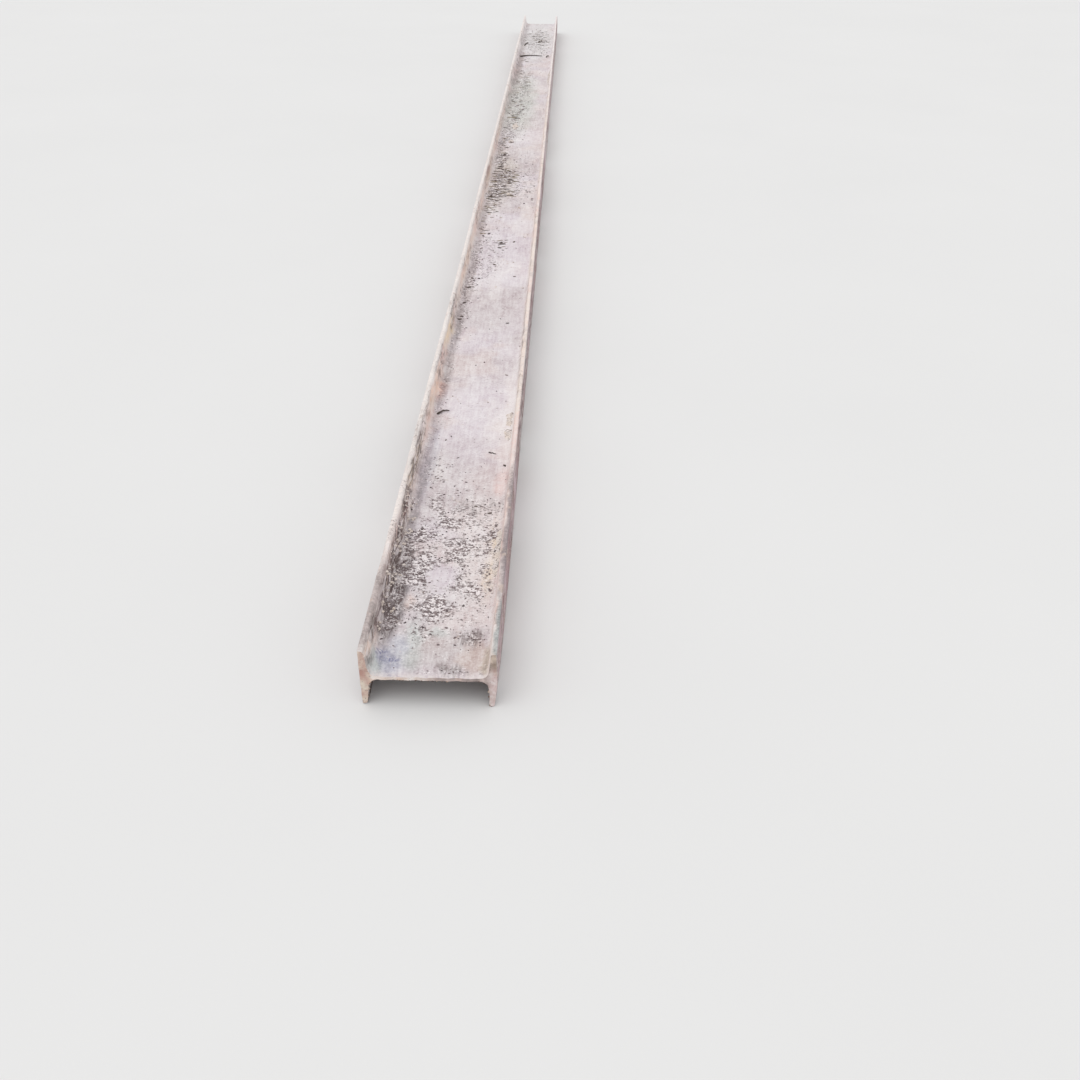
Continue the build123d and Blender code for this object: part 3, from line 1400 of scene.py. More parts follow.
@dataclass
class MortarChips(OnSkin):
    """Pale chips of mortar and stone lying in the trough.

    Attributes:
        count: How many small ones there are.
        left_share: Share of them that lie towards the left root.
        root_gap: Least and average further distance of one from its root.
        stretch: Shares of the beam's length between which they lie.
        half_width: Smallest and largest half width of a small one.
        root_count: How many pebbles are stuck in the left root near the near end.
        root_around: Distances round the skin between which the pebbles lie.
        root_station: The same from the near end.
        root_width: Smallest and largest half width of a pebble.
        large: The large chips: distance round the skin, distance from the near end, half width.
    """

    count: int = 110
    left_share: float = 0.62
    root_gap: Pair = (3 * MM, 14 * MM)
    stretch: Pair = (0.25, 0.97)
    half_width: Pair = (1.4 * MM, 3.6 * MM)
    root_count: int = 90
    root_around: Pair = (-88 * MM, -54 * MM)
    root_station: Pair = (0.07, 0.36)
    root_width: Pair = (1.0 * MM, 3.2 * MM)
    large: tuple[Triple, ...] = (
        (-28 * MM, 2.362, 9 * MM),
        (-6 * MM, 1.837, 7 * MM),
    )

    def build(self) -> Piece:
        """Makes the small chips, the pebbles and the large chips in one piece.

        Returns:
            The piece.
        """
        chance = np.random.default_rng(19)
        side = np.where(chance.random(self.count) < self.left_share, -1.0, 1.0)
        least, further = self.root_gap
        around = side * (self.skin.section.root - chance.exponential(further, self.count) - least)
        station = chance.uniform(*self.stretch, self.count) * self.skin.length
        width = between(*self.half_width, chance.random(self.count) ** 2)
        small = np.stack([around, station, width])
        bounds = (self.root_around, self.root_station, self.root_width)
        pebbles = np.stack([chance.uniform(*bound, self.root_count) for bound in bounds])
        around, station, width = np.concatenate([small, pebbles, np.transpose(self.large)], axis=1)
        sizes = width[:, None] * chance.uniform([0.8, 0.8, 0.35], [1.3, 1.3, 0.6], (len(width), 3))
        centres = self.skin.place(around, station, 0.5 * sizes[:, 2])
        return stones("mortar_chips", centres, sizes, seed=20, detail=2)


def tube_along(path: Array, radius: Array, sides: int) -> Arrays:
    """A closed tube round a path: a circle in the plane across the path at each of its points.

    Args:
        path: Points of the path, one row each.
        radius: Radius at each point.
        sides: Faces round the tube.

    Returns:
        Its points and quads. The end rings shrink to a point.
    """
    along = np.gradient(path, axis=0)
    along /= np.linalg.norm(along, axis=1, keepdims=True)
    side = np.cross(along, [0.0, 0.0, 1.0])
    side /= np.linalg.norm(side, axis=1, keepdims=True)
    up = np.cross(side, along)
    turn = np.linspace(0.0, 2 * math.pi, sides, endpoint=False)[None, :, None]
    across = side[:, None] * np.cos(turn) + up[:, None] * np.sin(turn)
    reach = radius.copy()
    reach[[0, -1]] = 0.0
    points = path[:, None] + across * reach[:, None, None]
    return points.reshape(-1, 3), grid_faces(len(path), sides, around=True)


@dataclass(frozen=True)
class Twig:
    """A dry twig or curl of bark lying on the web.

    Attributes:
        start: Where it starts, across the web and along the beam.
        end: Where it ends.
        bow: How far its middle strays from the straight line.
        radius: Its radius at its thick end.
        lift: Height of its middle over the skin.
    """

    start: Pair
    end: Pair
    bow: float
    radius: float
    lift: float = 0.0


TWIGS = (
    Twig((-62 * MM, 3.724), (30 * MM, 3.748), bow=9 * MM, radius=2.4 * MM, lift=1.5 * MM),
    Twig((44 * MM, 3.715), (53 * MM, 3.752), bow=-7 * MM, radius=2.0 * MM, lift=4 * MM),
    Twig((-58 * MM, 0.628), (-39 * MM, 0.642), bow=2.5 * MM, radius=1.5 * MM, lift=1.5 * MM),
    Twig((32 * MM, 0.508), (44 * MM, 0.504), bow=1.2 * MM, radius=1.0 * MM),
    Twig((-52 * MM, 3.98), (-38 * MM, 4.05), bow=6 * MM, radius=2.2 * MM, lift=2 * MM),
    Twig((2 * MM, 4.06), (20 * MM, 4.08), bow=4 * MM, radius=2.0 * MM, lift=1 * MM),
)

# Distance round the skin, distance from the near end and half width of each flake, in millimetres
FLAKES = (
    (45, 340, 2.4), (25, 357, 2.0), (58, 470, 2.6), (-35, 544, 1.6), (-28, 556, 1.4),
    (-12, 490, 1.5), (34, 1004, 2.6), (-57, 1018, 3.8), (-55, 1034, 2.6), (-55, 1102, 3.4),
    (-53, 1186, 3.4), (-50, 1238, 2.8), (-10, 1320, 3.0), (35, 1252, 2.4), (-6, 1430, 3.4),
    (-4, 1466, 3.0), (24, 1470, 3.0),
)


@dataclass
class Litter(OnSkin):
    """Twigs, curls of bark and dark flakes on the web.

    Attributes:
        steps: Points along a twig.
        sides: Faces round a twig.
        flake_shape: Half sizes of a flake, in shares of its half width.
    """

    steps: int = 22
    sides: int = 8
    flake_shape: Triple = (1.5, 0.8, 0.32)

    def twig(self, twig: Twig, seed: int) -> Arrays:
        """One twig: a tube along a bowed line with kinks, thinner towards its end.

        Args:
            twig: Its place and sizes.
            seed: Choice of its kinks.

        Returns:
            Its points and quads.
        """
        chance = np.random.default_rng(seed)
        share = np.linspace(0.0, 1.0, self.steps)
        arch = np.sin(math.pi * share)
        kinks = np.cumsum(chance.normal(0.0, 0.35 * twig.radius, self.steps))
        kinks -= share * kinks[-1]
        across = between(twig.start[0], twig.end[0], share) + 0.3 * kinks
        station = between(twig.start[1], twig.end[1], share) + twig.bow * arch + kinks
        radius = twig.radius * (1.0 - 0.5 * share) * chance.uniform(0.8, 1.15, self.steps)
        path = self.skin.place(across, station, radius * 0.8 + twig.lift * arch)
        return tube_along(path, radius, self.sides)

    def twigs(self) -> Piece:
        """Makes the twigs in one piece."""
        return closed_piece("dry_twigs", [self.twig(twig, seed) for seed, twig in enumerate(TWIGS)])

    def flakes(self) -> Piece:
        """Makes the flakes in one piece.

        Returns:
            The piece.
        """
        around, station, width = np.transpose(FLAKES) * MM
        sizes = width[:, None] * np.array(self.flake_shape)
        centres = self.skin.place(around, station, 0.6 * sizes[:, 2])
        return stones("dark_flakes", centres, sizes, seed=31, detail=2)


@dataclass
class TorchSlag(OnSkin):
    """Beads of slag that hang on the lower edges of the cut ends.

    Attributes:
        near_count: Beads at the near end.
        far_count: Beads at the far end.
        radius: Smallest and largest radius of a bead.
        room: How many times its half size a bead keeps from the floor and from the beam's ends.
    """

    near_count: int = 46
    far_count: int = 80
    radius: Pair = (0.5 * MM, 1.5 * MM)
    room: float = 1.2

    def beads(self, chance: Chance, count: int, far: bool) -> Arrays:
        """Beads at one end, at random round the lower half of the section.

        Args:
            chance: Source of the random numbers.
            count: How many beads.
            far: Whether they are at the far end.

        Returns:
            Centres and half sizes.
        """
        skin, half = self.skin, self.skin.zones.half
        radius = between(*self.radius, chance.random(count) ** 2)
        around = chance.uniform(skin.zones.under, 2 * half - skin.zones.under, count)
        around = (around + half) % (2 * half) - half
        cut = skin.far_cut if far else skin.near_cut
        recess = cut.recess(skin.section, *skin.at(around, skin.ring).T) + 0.7 * radius
        station = skin.length - recess if far else recess
        centres = skin.place(around, station, np.zeros(count))
        sizes = radius[:, None] * chance.uniform(0.8, 1.2, (count, 3))
        centres[:, 2] = np.maximum(centres[:, 2], self.room * sizes[:, 2])
        limit = skin.length / 2 - self.room * sizes.max(axis=1)
        centres[:, 1] = np.clip(centres[:, 1], -limit, limit)
        return centres, sizes

    def build(self) -> Piece:
        """Makes the beads of both ends in one piece.

        Returns:
            The piece.
        """
        chance = np.random.default_rng(43)
        near = self.beads(chance, self.near_count, far=False)
        far = self.beads(chance, self.far_count, far=True)
        centres, sizes = (np.concatenate(pair) for pair in zip(near, far))
        return stones("torch_slag", centres, sizes, seed=44, detail=2, smooth=True)


def feed(node: bpy.types.Node, inputs: Inputs) -> None:
    """Links or sets inputs of a node.

    Args:
        node: The node.
        inputs: What each input takes, by its name or number: another node's output, a
            colour, a vector or a number. None leaves it as it is.
    """
    for key, value in inputs.items():
        socket = node.inputs[key]
        if isinstance(value, Socket):
            node.id_data.links.new(value, socket)
        elif isinstance(value, tuple) and len(value) == 3 and socket.type == "RGBA":
            socket.default_value = (*value, 1.0)
        elif value is not None:
            socket.default_value = value


def add_node(tree: bpy.types.NodeTree, kind: str, inputs: Inputs | None = None,
             **settings: object) -> bpy.types.Node:
    """Adds a node to a tree.

    Args:
        tree: The tree.
        kind: Type of the node.
        inputs: What its inputs take, as feed does.
        settings: Its settings, made before its inputs are fed.

    Returns:
        The node.
    """
    node = tree.nodes.new(kind)
    for name, value in settings.items():
        setattr(node, name, value)
    feed(node, inputs or {})
    return node


class Shader:
    """Lays out the nodes of one material round a Principled BSDF."""

    def __init__(self, surface: Surface) -> None:
        """Makes a material with its surface, its output and its place in space.

        Args:
            surface: The kind of surface, which names the material.
        """
        self.material = bpy.data.materials.new(surface.value)
        self.material.use_nodes = True
        self.tree = self.material.node_tree
        self.tree.nodes.clear()
        self.surface = add_node(self.tree, "ShaderNodeBsdfPrincipled")
        self.add("ShaderNodeOutputMaterial", None, {"Surface": self.surface.outputs["BSDF"]})
        self.place = self.add("ShaderNodeTexCoord", "Object")

    def add(self, kind: str, output: str | int | None, inputs: Inputs | None = None,
            **settings: object) -> Socket | None:
        """Adds a node and gives one of its outputs, or none."""
        node = add_node(self.tree, kind, inputs, **settings)
        return None if output is None else node.outputs[output]

    def attribute(self, name: str, output: str = "Fac") -> Socket:
        """Reads a number, or as "Color" a colour, that the mesh holds at its points."""
        return self.add("ShaderNodeAttribute", output, attribute_name=name)

    def texture(self, kind: str, output: str, place: tuple, scale: tuple, **inputs: float) -> Socket:
        """A texture that reads Object coordinates, scaled and then moved.

        Args:
            kind: Type of its node.
            output: Name of the output that is read.
            place: How far it is moved.
            scale: How many times it is scaled along X, Y and Z.
            inputs: The texture's own inputs.

        Returns:
            The output's socket.
        """
        mapping = {"Vector": self.place, "Location": place, "Scale": scale}
        moved = self.add("ShaderNodeMapping", "Vector", mapping)
        return self.add(kind, output, {"Vector": moved, "Scale": 1.0, **inputs})

    def noise(self, size: float, detail: float = 4.0, roughness: float = 0.55,
              stretch: Triple = (1.0, 1.0, 1.0), shift: float = 0.0,
              distortion: float = 0.0) -> Socket:
        """Noise from 0 to 1.

        Args:
            size: Size of its largest clouds, in metres.
            detail: How many finer layers it has.
            roughness: How strong the finer layers are.
            stretch: How many times longer the clouds are along X, Y and Z.
            shift: Moves the pattern, so that two noises differ.
            distortion: How far the clouds are bent.

        Returns:
            The noise's socket.
        """
        place = (shift, 0.37 * shift, 0.71 * shift)
        scale = tuple(1.0 / (size * share) for share in stretch)
        return self.texture("ShaderNodeTexNoise", "Fac", place, scale,
                            Detail=detail, Roughness=roughness, Distortion=distortion)

    def cells(self, size: float, shift: float = 0.0, wider: float = 1.0) -> Socket:
        """Distance to the nearest of many scattered points, in shares of the size, wider along X."""
        scale = (1.0 / (size * wider), 1.0 / size, 1.0 / size)
        return self.texture("ShaderNodeTexVoronoi", "Distance", (shift, shift, shift), scale)

    def share(self, value: Socket, low: float, high: float, start: float = 0.0, end: float = 1.0) -> Socket:
        """Eases from start, where the value is low, to end, where it is high."""
        inputs = {"Value": value, "From Min": low, "From Max": high, "To Min": start, "To Max": end}
        return self.add("ShaderNodeMapRange", "Result", inputs, interpolation_type="SMOOTHSTEP")

    def spread(self, noise: Socket) -> Socket:
        """Stretches a noise, which keeps near its middle, over the whole way from 0 to 1."""
        return self.share(noise, 0.3, 0.7)

    def within(self, noise: Socket, low: float, high: float, mask: Socket) -> Socket:
        """The share of a noise, kept to where the mask is strong."""
        return self.math("MULTIPLY", self.share(noise, low, high), mask)

    def ridge(self, noise: Socket, width: float) -> Socket:
        """Thin winding lines: 1 where the noise is at its middle, 0 from width away."""
        rising = self.share(noise, 0.5 - width, 0.49)
        return self.math("SUBTRACT", rising, self.share(noise, 0.51, 0.5 + width))

    def total(self, *parts: tuple[Socket, float]) -> Socket:
        """Adds up sockets, each times its own weight, and keeps the sum from 0 to 1."""
        weighed = [self.math("MULTIPLY", socket, weight) for socket, weight in parts]
        return functools.reduce(lambda total, value: self.math("ADD", total, value), weighed)

    def math(self, operation: str, first: object, second: object) -> Socket:
        """Works out one sum of two numbers or sockets, kept from 0 to 1."""
        return self.add("ShaderNodeMath", "Value", {0: first, 1: second}, operation=operation, use_clamp=True)

    def mix(self, share: object, under: object, over: object, mode: str = "MIX") -> Socket:
        """Lays one colour over another by a share."""
        inputs = {"Factor": share, 6: under, 7: over}
        return self.add("ShaderNodeMix", 2, inputs, data_type="RGBA", blend_type=mode)

    def lay(self, cover: Socket, strength: object, under: Socket, over: object) -> Socket:
        """Lays a colour over another by a cover times its strength."""
        return self.mix(self.math("MULTIPLY", cover, strength), under, over)

    def bump(self, height: Socket, depth: float, under: Socket | None = None) -> Socket:
        """Raises the surface by height times depth, over the bump below it."""
        inputs = {"Strength": 1.0, "Distance": depth, "Height": height, "Normal": under}
        return self.add("ShaderNodeBump", "Normal", inputs)

    def finish(self, colour: Socket, roughness: object, normal: Socket | None = None,
               specular: float = 0.4) -> Material:
        """Wires the surface.

        Args:
            colour: Base colour.
            roughness: Roughness, a number or a socket.
            normal: Normal, if the surface isn't smooth.
            specular: Strength of the reflection.

        Returns:
            The finished material.
        """
        feed(self.surface, {"Base Color": colour, "Roughness": roughness, "Normal": normal})
        feed(self.surface, {"Specular IOR Level": specular})
        return self.material


@dataclass
class WeatheredPrimer:
    """Old red primer over rusting steel, under a film of lime dust and dark grit.

    Attributes:
        shader: The material's nodes.
        maps: The skin's attributes and the noises that several layers read, by name.
        skin: Colour of the layers so far.
    """

    rust_dark: Colour = linear(80, 62, 57)
    rust_light: Colour = linear(150, 112, 88)
    primer_dark: Colour = linear(118, 86, 88)
    primer_light: Colour = linear(176, 140, 141)
    halo: Colour = linear(200, 182, 172)
    soil: Colour = linear(94, 80, 78)
    grit_dark: Colour = linear(90, 77, 79)
    grit_light: Colour = linear(132, 117, 116)
    chalk: Colour = linear(246, 239, 240)
    rubbed: Colour = linear(220, 210, 207)
    slate: Colour = linear(112, 114, 150)
    shader: Shader = field(init=False)
    maps: dict[str, Socket] = field(init=False)
    skin: Socket = field(init=False)

    def __post_init__(self) -> None:
        """Starts the material: the broad tone, the other attributes and the shared noises."""
        self.shader = shader = Shader(Surface.STEEL)
        self.skin = shader.attribute("tone", "Color")
        names = ("film", "grit", "dirt", "wear", "slate")
        self.maps = {name: shader.attribute(name) for name in names}
        self.maps.update(
            fine=shader.noise(3.4 * MM, detail=3, roughness=0.65),
            medium=shader.noise(13 * MM, detail=5, roughness=0.62, shift=3.1),
            broad=shader.noise(52 * MM, detail=4, shift=7.7, stretch=(1.0, 1.8, 1.0)),
            drawn=shader.noise(4.5 * MM, detail=3, stretch=(1.0, 9.0, 1.0), shift=17.3),
        )

    def coat(self, cover: Socket, strength: object, colour: object) -> None:
        """Lays a colour over the layers so far, by a cover times its strength."""
        self.skin = self.shader.lay(cover, strength, self.skin, colour)

    def base(self, ground: Socket) -> Socket:
        """Rust with scraps of primer on it, where the dust film has gone.

        Args:
            ground: The noise that the rust's shade follows.

        Returns:
            The colour's socket.
        """
        shader = self.shader
        rust = shader.mix(shader.share(ground, 0.3, 0.7), self.rust_dark, self.rust_light)
        grain = shader.spread(shader.noise(6 * MM, detail=4, stretch=(1.0, 3.0, 1.0), shift=1.3))
        primer = shader.mix(grain, self.primer_dark, self.primer_light)
        flaked = shader.share(shader.noise(19 * MM, detail=6, roughness=0.68, shift=9.2), 0.49, 0.56)
        return shader.mix(flaked, primer, rust)

    def dust(self) -> None:
        """The dust film over the base: its broad tone with noises of four sizes, paler at its rims."""
        shader = self.shader
        patchy = shader.noise(24 * MM, detail=7, roughness=0.66, shift=27.3, distortion=0.5)
        ground = shader.spread(patchy)
        held = shader.total((self.maps["film"], 0.64), (ground, 0.6))
        covered = shader.share(held, 0.5, 0.56)
        for name, strength in (("broad", 0.14), ("medium", 0.14), ("fine", 0.16), ("drawn", 0.14)):
            self.skin = shader.mix(strength, self.skin, shader.spread(self.maps[name]), "OVERLAY")
        film = shader.mix(shader.share(held, 0.58, 0.68, 0.75, 0.0), self.skin, self.halo)
        self.skin = shader.mix(covered, self.base(ground), film)
        self.maps["covered"] = covered

    def marble(self) -> None:
        """Where the dirt is: dark veins, pale streaks, and fine lines of both along the beam."""
        shader, dirt = self.shader, self.maps["dirt"]
        veins = shader.noise(12 * MM, 6, 0.66, (1.0, 3.0, 1.0), shift=33.5, distortion=0.7)
        self.coat(shader.within(veins, 0.44, 0.56, dirt), 0.85, self.soil)
        streaks = shader.noise(8 * MM, detail=5, roughness=0.7, stretch=(1.0, 3.0, 1.0), shift=37.1)
        self.coat(shader.within(streaks, 0.54, 0.6, dirt), 0.8, self.chalk)
        lines = shader.noise(4.5 * MM, 4, 0.7, (1.0, 9.0, 1.0), shift=43.7, distortion=0.3)
        self.coat(shader.within(lines, 0.54, 0.64, dirt), 0.85, self.soil)
        self.coat(shader.within(lines, 0.46, 0.36, dirt), 0.85, self.chalk)
        self.maps.update(streaks=streaks, lines=lines)

    def scribble(self) -> None:
        """The blue scribbles: thin winding lines near one corner."""
        winding = self.shader.noise(9 * MM, detail=3, stretch=(1.5, 1.0, 1.0), shift=61.0, distortion=1.0)
        marks = self.shader.math("MULTIPLY", self.shader.ridge(winding, 0.035), self.maps["slate"])
        self.coat(marks, 0.85, self.slate)

    def strew(self) -> None:
        """Grit: a faint shade over its patches, dark pits in it, and white specks between them."""
        shader = self.shader
        clump = shader.spread(shader.noise(16 * MM, detail=4, roughness=0.6, shift=15.1, distortion=0.8))
        here = shader.total((self.maps["grit"], 0.68), (clump, 0.32))
        soiled = shader.share(here, 0.4, 1.0, 0.0, 0.3)
        self.skin = shader.mix(soiled, self.skin, self.grit_light)
        speck = shader.spread(shader.noise(3.8 * MM, 3, 0.75, (1.6, 1.0, 1.0), shift=12.6))
        coarse = shader.cells(2.3 * MM, shift=2.3, wider=1.35)
        small = shader.cells(1.6 * MM, shift=6.1, wider=1.3)
        pitted = shader.total((coarse, 0.42), (small, 0.2), (speck, 0.38))
        dark = shader.share(shader.total((pitted, 0.55), (here, 0.45)), 0.49, 0.64)
        self.coat(dark, 0.9, shader.mix(shader.spread(self.maps["fine"]), self.grit_light, self.grit_dark))
        raised = shader.math("SUBTRACT", 1.0, pitted)
        white = shader.share(shader.total((raised, 0.6), (here, 0.3)), 0.485, 0.555)
        bare = shader.math("SUBTRACT", 0.9, shader.math("MULTIPLY", self.maps["dirt"], 0.5))
        self.coat(white, bare, self.chalk)
        self.maps.update(dark=dark, white=white)

    def scratch(self) -> None:
        """Pale plates with dark outlines in the dirt, and scratches along and scores across the beam."""
        shader, dirt = self.shader, self.maps["dirt"]
        plates = shader.noise(11 * MM, 2, 0.5, (1.0, 4.0, 1.0), shift=71.0, distortion=0.6)
        self.coat(shader.within(plates, 0.56, 0.61, dirt), 0.6, self.chalk)
        self.coat(shader.math("MULTIPLY", shader.ridge(plates, 0.045), dirt), 0.85, self.soil)
        scratches = shader.noise(1.5 * MM, detail=2, stretch=(1.0, 22.0, 1.0), shift=51.0)
        self.coat(shader.share(scratches, 0.66, 0.72), 0.4, self.rubbed)
        scores = shader.noise(1.6 * MM, detail=2, stretch=(9.0, 1.0, 1.0), shift=57.0)
        self.coat(shader.share(scores, 0.67, 0.73), 0.45, self.soil)

    def rub(self) -> None:
        """Bare bright steel on the worn edges."""
        share = self.shader.share(self.maps["fine"], 0.34, 0.6)
        self.coat(self.shader.math("MULTIPLY", self.maps["wear"], share), 0.6, self.rubbed)

    def relief(self) -> Socket:
        """Bumps, one over another: broad and medium waves, the film's rims, the dirt and the grit.

        Returns:
            The normal's socket.
        """
        shader, maps = self.shader, self.maps
        normal = shader.bump(maps["broad"], 0.9 * MM)
        normal = shader.bump(maps["medium"], 0.6 * MM, normal)
        normal = shader.bump(maps["covered"], 0.22 * MM, normal)
        lumps = shader.total((shader.spread(maps["streaks"]), 0.6), (maps["lines"], 0.4))
        normal = shader.bump(shader.math("MULTIPLY", lumps, maps["dirt"]), 1.6 * MM, normal)
        return shader.bump(shader.total((maps["dark"], 0.5), (maps["white"], 0.5)), 0.4 * MM, normal)

    def material(self) -> Material:
        """Builds the layers from the steel up.

        Returns:
            The material.
        """
        for layer in (self.dust, self.marble, self.scribble, self.strew, self.scratch, self.rub):
            layer()
        rough = self.shader.share(self.maps["drawn"], 0.3, 0.7, 0.74, 0.93)
        return self.shader.finish(self.skin, rough, self.relief(), specular=0.3)


@dataclass(frozen=True)
class TorchFace:
    """The cut face of an end: tan on the left flange, cream on the web darkening to brown towards the right
    as painted shade, pink on the right.
    """

    tan: Colour = linear(210, 187, 174)
    cream: Colour = linear(238, 224, 216)
    shaded_brown: Colour = linear(184, 168, 164)
    ochre: Colour = linear(190, 173, 160)
    pink: Colour = linear(220, 202, 200)
    rust: Colour = linear(158, 122, 100)
    pit: Colour = linear(120, 100, 96)

    def material(self) -> Material:
        """Builds the colour from the place across the beam, with rust, pits and fine drag lines.

        Returns:
            The material.
        """
        shader = Shader(Surface.CUT)
        split = add_node(shader.tree, "ShaderNodeSeparateXYZ", {"Vector": shader.place})
        across = split.outputs["X"]
        cloud = shader.noise(13 * MM, detail=5)
        fine = shader.noise(2.6 * MM, detail=3, shift=4.2)
        lines = shader.noise(1.3 * MM, detail=2, stretch=(1.0, 8.0, 6.0), shift=2.2)
        colour = shader.mix(shader.share(across, -68 * MM, -60 * MM), self.tan, self.cream)
        # Painted shade: the web's end face darkens towards the right.
        colour = shader.mix(shader.share(across, -30 * MM, 24 * MM), colour, self.shaded_brown)
        flange = shader.mix(shader.share(split.outputs["Z"], 42 * MM, 60 * MM), self.pink, self.ochre)
        colour = shader.mix(shader.share(across, 62 * MM, 72 * MM), colour, flange)
        colour = shader.mix(0.4, colour, shader.spread(cloud), "OVERLAY")
        rusty = shader.share(shader.noise(17 * MM, detail=5, shift=5.5), 0.56, 0.68)
        colour = shader.lay(rusty, 0.25, colour, self.rust)
        pits = shader.share(fine, 0.62, 0.7)
        colour = shader.lay(pits, 0.6, colour, self.pit)
        normal = shader.bump(lines, 0.5 * MM)
        normal = shader.bump(fine, 0.5 * MM, normal)
        return shader.finish(colour, shader.share(cloud, 0.3, 0.7, 0.7, 0.9), normal, specular=0.35)


@dataclass(frozen=True)
class Crumb:
    """A finish for small loose things: three colours by each one's own shade, with a grain."""

    surface: Surface
    dark: Colour
    middle: Colour
    light: Colour
    grain: float = 1.2 * MM

    def material(self) -> Material:
        """Builds the colour from the stored shade and a fine noise.

        Returns:
            The material.
        """
        shader = Shader(self.surface)
        shade = shader.attribute("shade")
        fine = shader.noise(self.grain, detail=3)
        colour = shader.mix(shader.share(shade, 0.15, 0.5), self.dark, self.middle)
        colour = shader.mix(shader.share(shade, 0.55, 0.85), colour, self.light)
        colour = shader.mix(shader.share(fine, 0.35, 0.7, 0.0, 0.45), colour, self.dark)
        normal = shader.bump(fine, 0.4 * MM)
        return shader.finish(colour, shader.share(fine, 0.3, 0.7, 0.8, 0.95), normal, specular=0.3)


@dataclass(frozen=True)
class LimeFinish:
    """Old lime and mortar: cream, with grey clouds and pits."""

    cream: Colour = linear(226, 214, 204)
    white: Colour = linear(236, 229, 226)
    grey: Colour = linear(176, 163, 156)
    speck: Colour = linear(122, 106, 102)

    def material(self) -> Material:
        """Builds the colour from clouds and the relief from a grain.

        Returns:
            The material.
        """
        shader = Shader(Surface.LIME)
        cloud = shader.noise(20 * MM, detail=5)
        fine = shader.noise(1.8 * MM, detail=3, shift=2.9)
        colour = shader.mix(shader.share(cloud, 0.35, 0.65), self.cream, self.white)
        colour = shader.mix(shader.share(fine, 0.5, 0.62, 0.0, 0.8), colour, self.grey)
        lace = shader.total((shader.cells(2.4 * MM, shift=5.2, wider=1.5), 0.6), (cloud, 0.5))
        colour = shader.mix(shader.share(lace, 0.62, 0.72, 0.0, 0.85), colour, self.speck)
        normal = shader.bump(fine, 0.6 * MM)
        return shader.finish(colour, shader.share(fine, 0.3, 0.7, 0.85, 0.97), normal, specular=0.25)


GRIT_FINISH = Crumb(Surface.GRIT, linear(84, 72, 74), linear(140, 125, 125), linear(232, 224, 224))
LITTER_FINISH = Crumb(Surface.LITTER, linear(78, 69, 64), linear(112, 100, 89), linear(166, 152, 132))
FLAKE_FINISH = Crumb(Surface.FLAKE, linear(70, 61, 58), linear(88, 78, 73), linear(112, 100, 92))
SLAG_FINISH = Crumb(Surface.SLAG, linear(96, 78, 72), linear(160, 132, 112), linear(204, 188, 174))


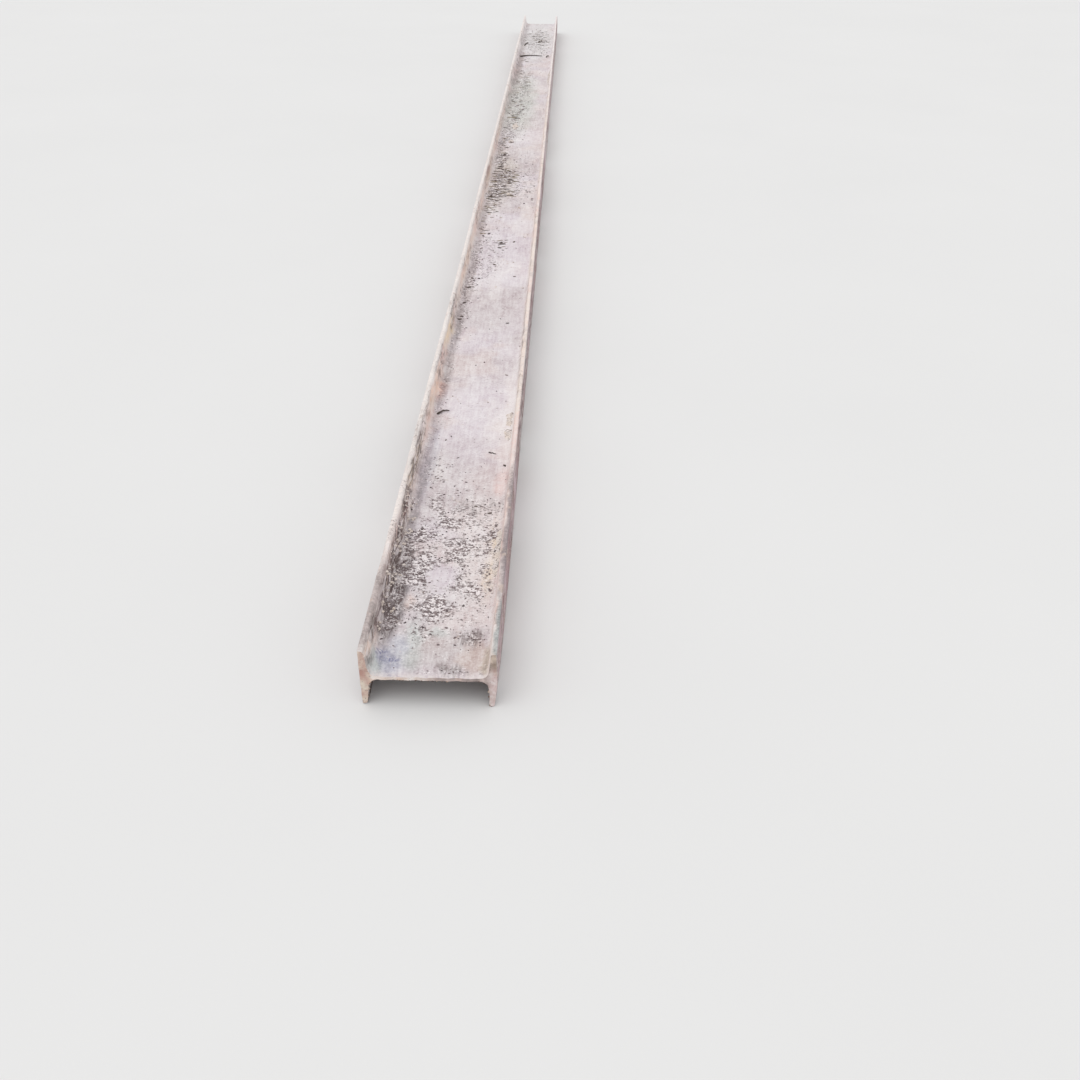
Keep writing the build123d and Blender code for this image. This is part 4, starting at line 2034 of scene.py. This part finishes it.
@dataclass
class Studio:
    """The plain pale floor, the soft light and the camera.

    Attributes:
        floor_colour: Linear grey of the floor.
        floor_cloud: How dark its faint clouds are, as a share of that grey.
        floor_reach: Half its width.
        backdrop: Strength of the white behind the floor.
        daylight: Strength of the even light from all round.
        sun_strength: Strength of the soft sunlight.
        sun_colour: Colour of the sunlight.
        sun_width: How wide the sun looks, which softens its shadows.
        sun_tilt: How far the sun leans towards the camera and to the right.
        camera_place: Where the camera stands.
        camera_pitch: How far it looks down, in radians.
        camera_yaw: How far it is turned to the left of the beam's direction.
        camera_roll: How far it is tilted about its view.
        lens: Its focal length in millimetres.
        film_width: Width of its film in millimetres.
        clip: Nearest and farthest distance that it sees.
    """

    floor_colour: float = 0.8
    floor_cloud: float = 0.96
    floor_reach: float = 40.0
    backdrop: float = 0.79
    daylight: float = 0.76
    sun_strength: float = 0.92
    sun_colour: Colour = (1.0, 0.99, 0.975)
    sun_width: float = math.radians(55.0)
    sun_tilt: Pair = (math.radians(14.0), math.radians(-11.0))
    camera_place: Triple = (0.1391, -3.1835, 0.8233)
    camera_pitch: float = math.radians(33.65)
    camera_yaw: float = math.radians(1.19)
    camera_roll: float = math.radians(0.71)
    lens: float = 36.067
    film_width: float = 36.0
    clip: Pair = (0.02, 200.0)

    def floor(self) -> None:
        """Lays a wide level sheet under the beam, with a faint cloud in its grey."""
        corners = np.array([[-1.0, -1.0, 0.0], [1.0, -1.0, 0.0], [1.0, 1.0, 0.0], [-1.0, 1.0, 0.0]])
        mesh = mesh_from_arrays("studio_floor", corners * self.floor_reach, np.array([[0, 1, 2, 3]]))
        piece = new_object("studio_floor", mesh)
        shader = Shader(Surface.FLOOR)
        grey, darker = ((self.floor_colour * share,) * 3 for share in (1.0, self.floor_cloud))
        colour = shader.mix(shader.noise(0.6, detail=3), grey, darker)
        mesh.materials.append(shader.finish(colour, 0.9, specular=0.2))

    def world(self) -> None:
        """Makes even light all round, and a pale backdrop for the camera and for reflections."""
        world = bpy.data.worlds.new("studio")
        bpy.context.scene.world = world
        world.use_nodes = True
        tree = world.node_tree
        tree.nodes.clear()
        rays = add_node(tree, "ShaderNodeLightPath").outputs
        seen = rays["Is Camera Ray"]
        for kind in ("Is Glossy Ray", "Is Transmission Ray"):
            either = add_node(tree, "ShaderNodeMath", {0: seen, 1: rays[kind]}, operation="MAXIMUM")
            seen = either.outputs["Value"]
        light, pale = (
            add_node(tree, "ShaderNodeBackground", {"Color": (1.0, 1.0, 1.0), "Strength": strength})
            for strength in (self.daylight, self.backdrop)
        )
        glow = {"Fac": seen, 1: light.outputs["Background"], 2: pale.outputs["Background"]}
        choice = add_node(tree, "ShaderNodeMixShader", glow)
        add_node(tree, "ShaderNodeOutputWorld", {"Surface": choice.outputs["Shader"]})

    def sun(self) -> None:
        """Hangs one wide soft sun high over the beam, a little to its left and towards the camera."""
        sun = bpy.data.lights.new("soft_sun", "SUN")
        sun.energy = self.sun_strength
        sun.angle = self.sun_width
        sun.color = self.sun_colour
        forward, sideways = self.sun_tilt
        turn = Matrix.Rotation(forward, 4, "X") @ Matrix.Rotation(sideways, 4, "Y")
        new_object("soft_sun", sun).matrix_world = Matrix.Translation(Vector((0.0, 0.0, 5.0))) @ turn

    def camera(self) -> None:
        """Places and turns the camera as the photograph was taken."""
        pitch, yaw, roll = self.camera_pitch, self.camera_yaw, self.camera_roll
        level_way = Vector((-math.sin(yaw), math.cos(yaw), 0.0)) * math.cos(pitch)
        forward = level_way - Vector((0.0, 0.0, math.sin(pitch)))
        level = Vector((math.cos(yaw), math.sin(yaw), 0.0))
        upward = level.cross(forward)
        right = level * math.cos(roll) + upward * math.sin(roll)
        top = upward * math.cos(roll) - level * math.sin(roll)
        data = bpy.data.cameras.new("photo_camera")
        data.sensor_width = self.film_width
        data.lens = self.lens
        data.clip_start, data.clip_end = self.clip
        piece = new_object("photo_camera", data)
        turn = Matrix((right, top, -forward)).transposed().to_4x4()
        piece.matrix_world = Matrix.Translation(Vector(self.camera_place)) @ turn
        bpy.context.scene.camera = piece

    def build(self) -> None:
        """Sets up the floor, the light and the camera, and the plain view of colours."""
        for part in (self.floor, self.world, self.sun, self.camera):
            part()
        bpy.context.scene.view_settings.view_transform = "Standard"


def dress(piece: Piece, *materials: Material) -> None:
    """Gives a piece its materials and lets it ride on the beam.

    Args:
        piece: The piece.
        materials: Its materials, in the order of their numbers on its faces.
    """
    for material in materials:
        piece.data.materials.append(material)
    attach(piece, BODY)
    log.info("%s: %d faces", piece.name, len(piece.data.polygons))


def main() -> None:
    """Builds the beam and what lies on it, then the studio."""
    logging.basicConfig(level=logging.INFO, format="%(name)s %(message)s")
    low, high = (np.array(corner, dtype=float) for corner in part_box(NODE))
    size = high - low
    section = RolledSection(depth=size[0], flange=size[2])
    near_cut = TorchCut(swing=1.4 * MM, pitch=17 * MM, skew=0.8 * MM)
    far_cut = TorchCut(swing=4.5 * MM, pitch=14 * MM, skew=3.0 * MM)
    skin = BeamSkin(section, size[1], float(low[2] + high[2]) / 2, near_cut, far_cut)
    dress(skin.build(), WeatheredPrimer().material(), TorchFace().material())
    dress(LooseGrit(skin).build(), GRIT_FINISH.material())
    dress(LimeCrust(skin).build(), LimeFinish().material())
    dress(MortarChips(skin).build(), LimeFinish().material())
    litter = LITTER_FINISH.material()
    on_web = Litter(skin)
    dress(on_web.twigs(), litter)
    dress(on_web.flakes(), FLAKE_FINISH.material())
    dress(BarkLitter(skin).build(), litter)
    dress(TorchSlag(skin).build(), SLAG_FINISH.material())
    Studio().build()


if __name__ == "__main__":
    main()
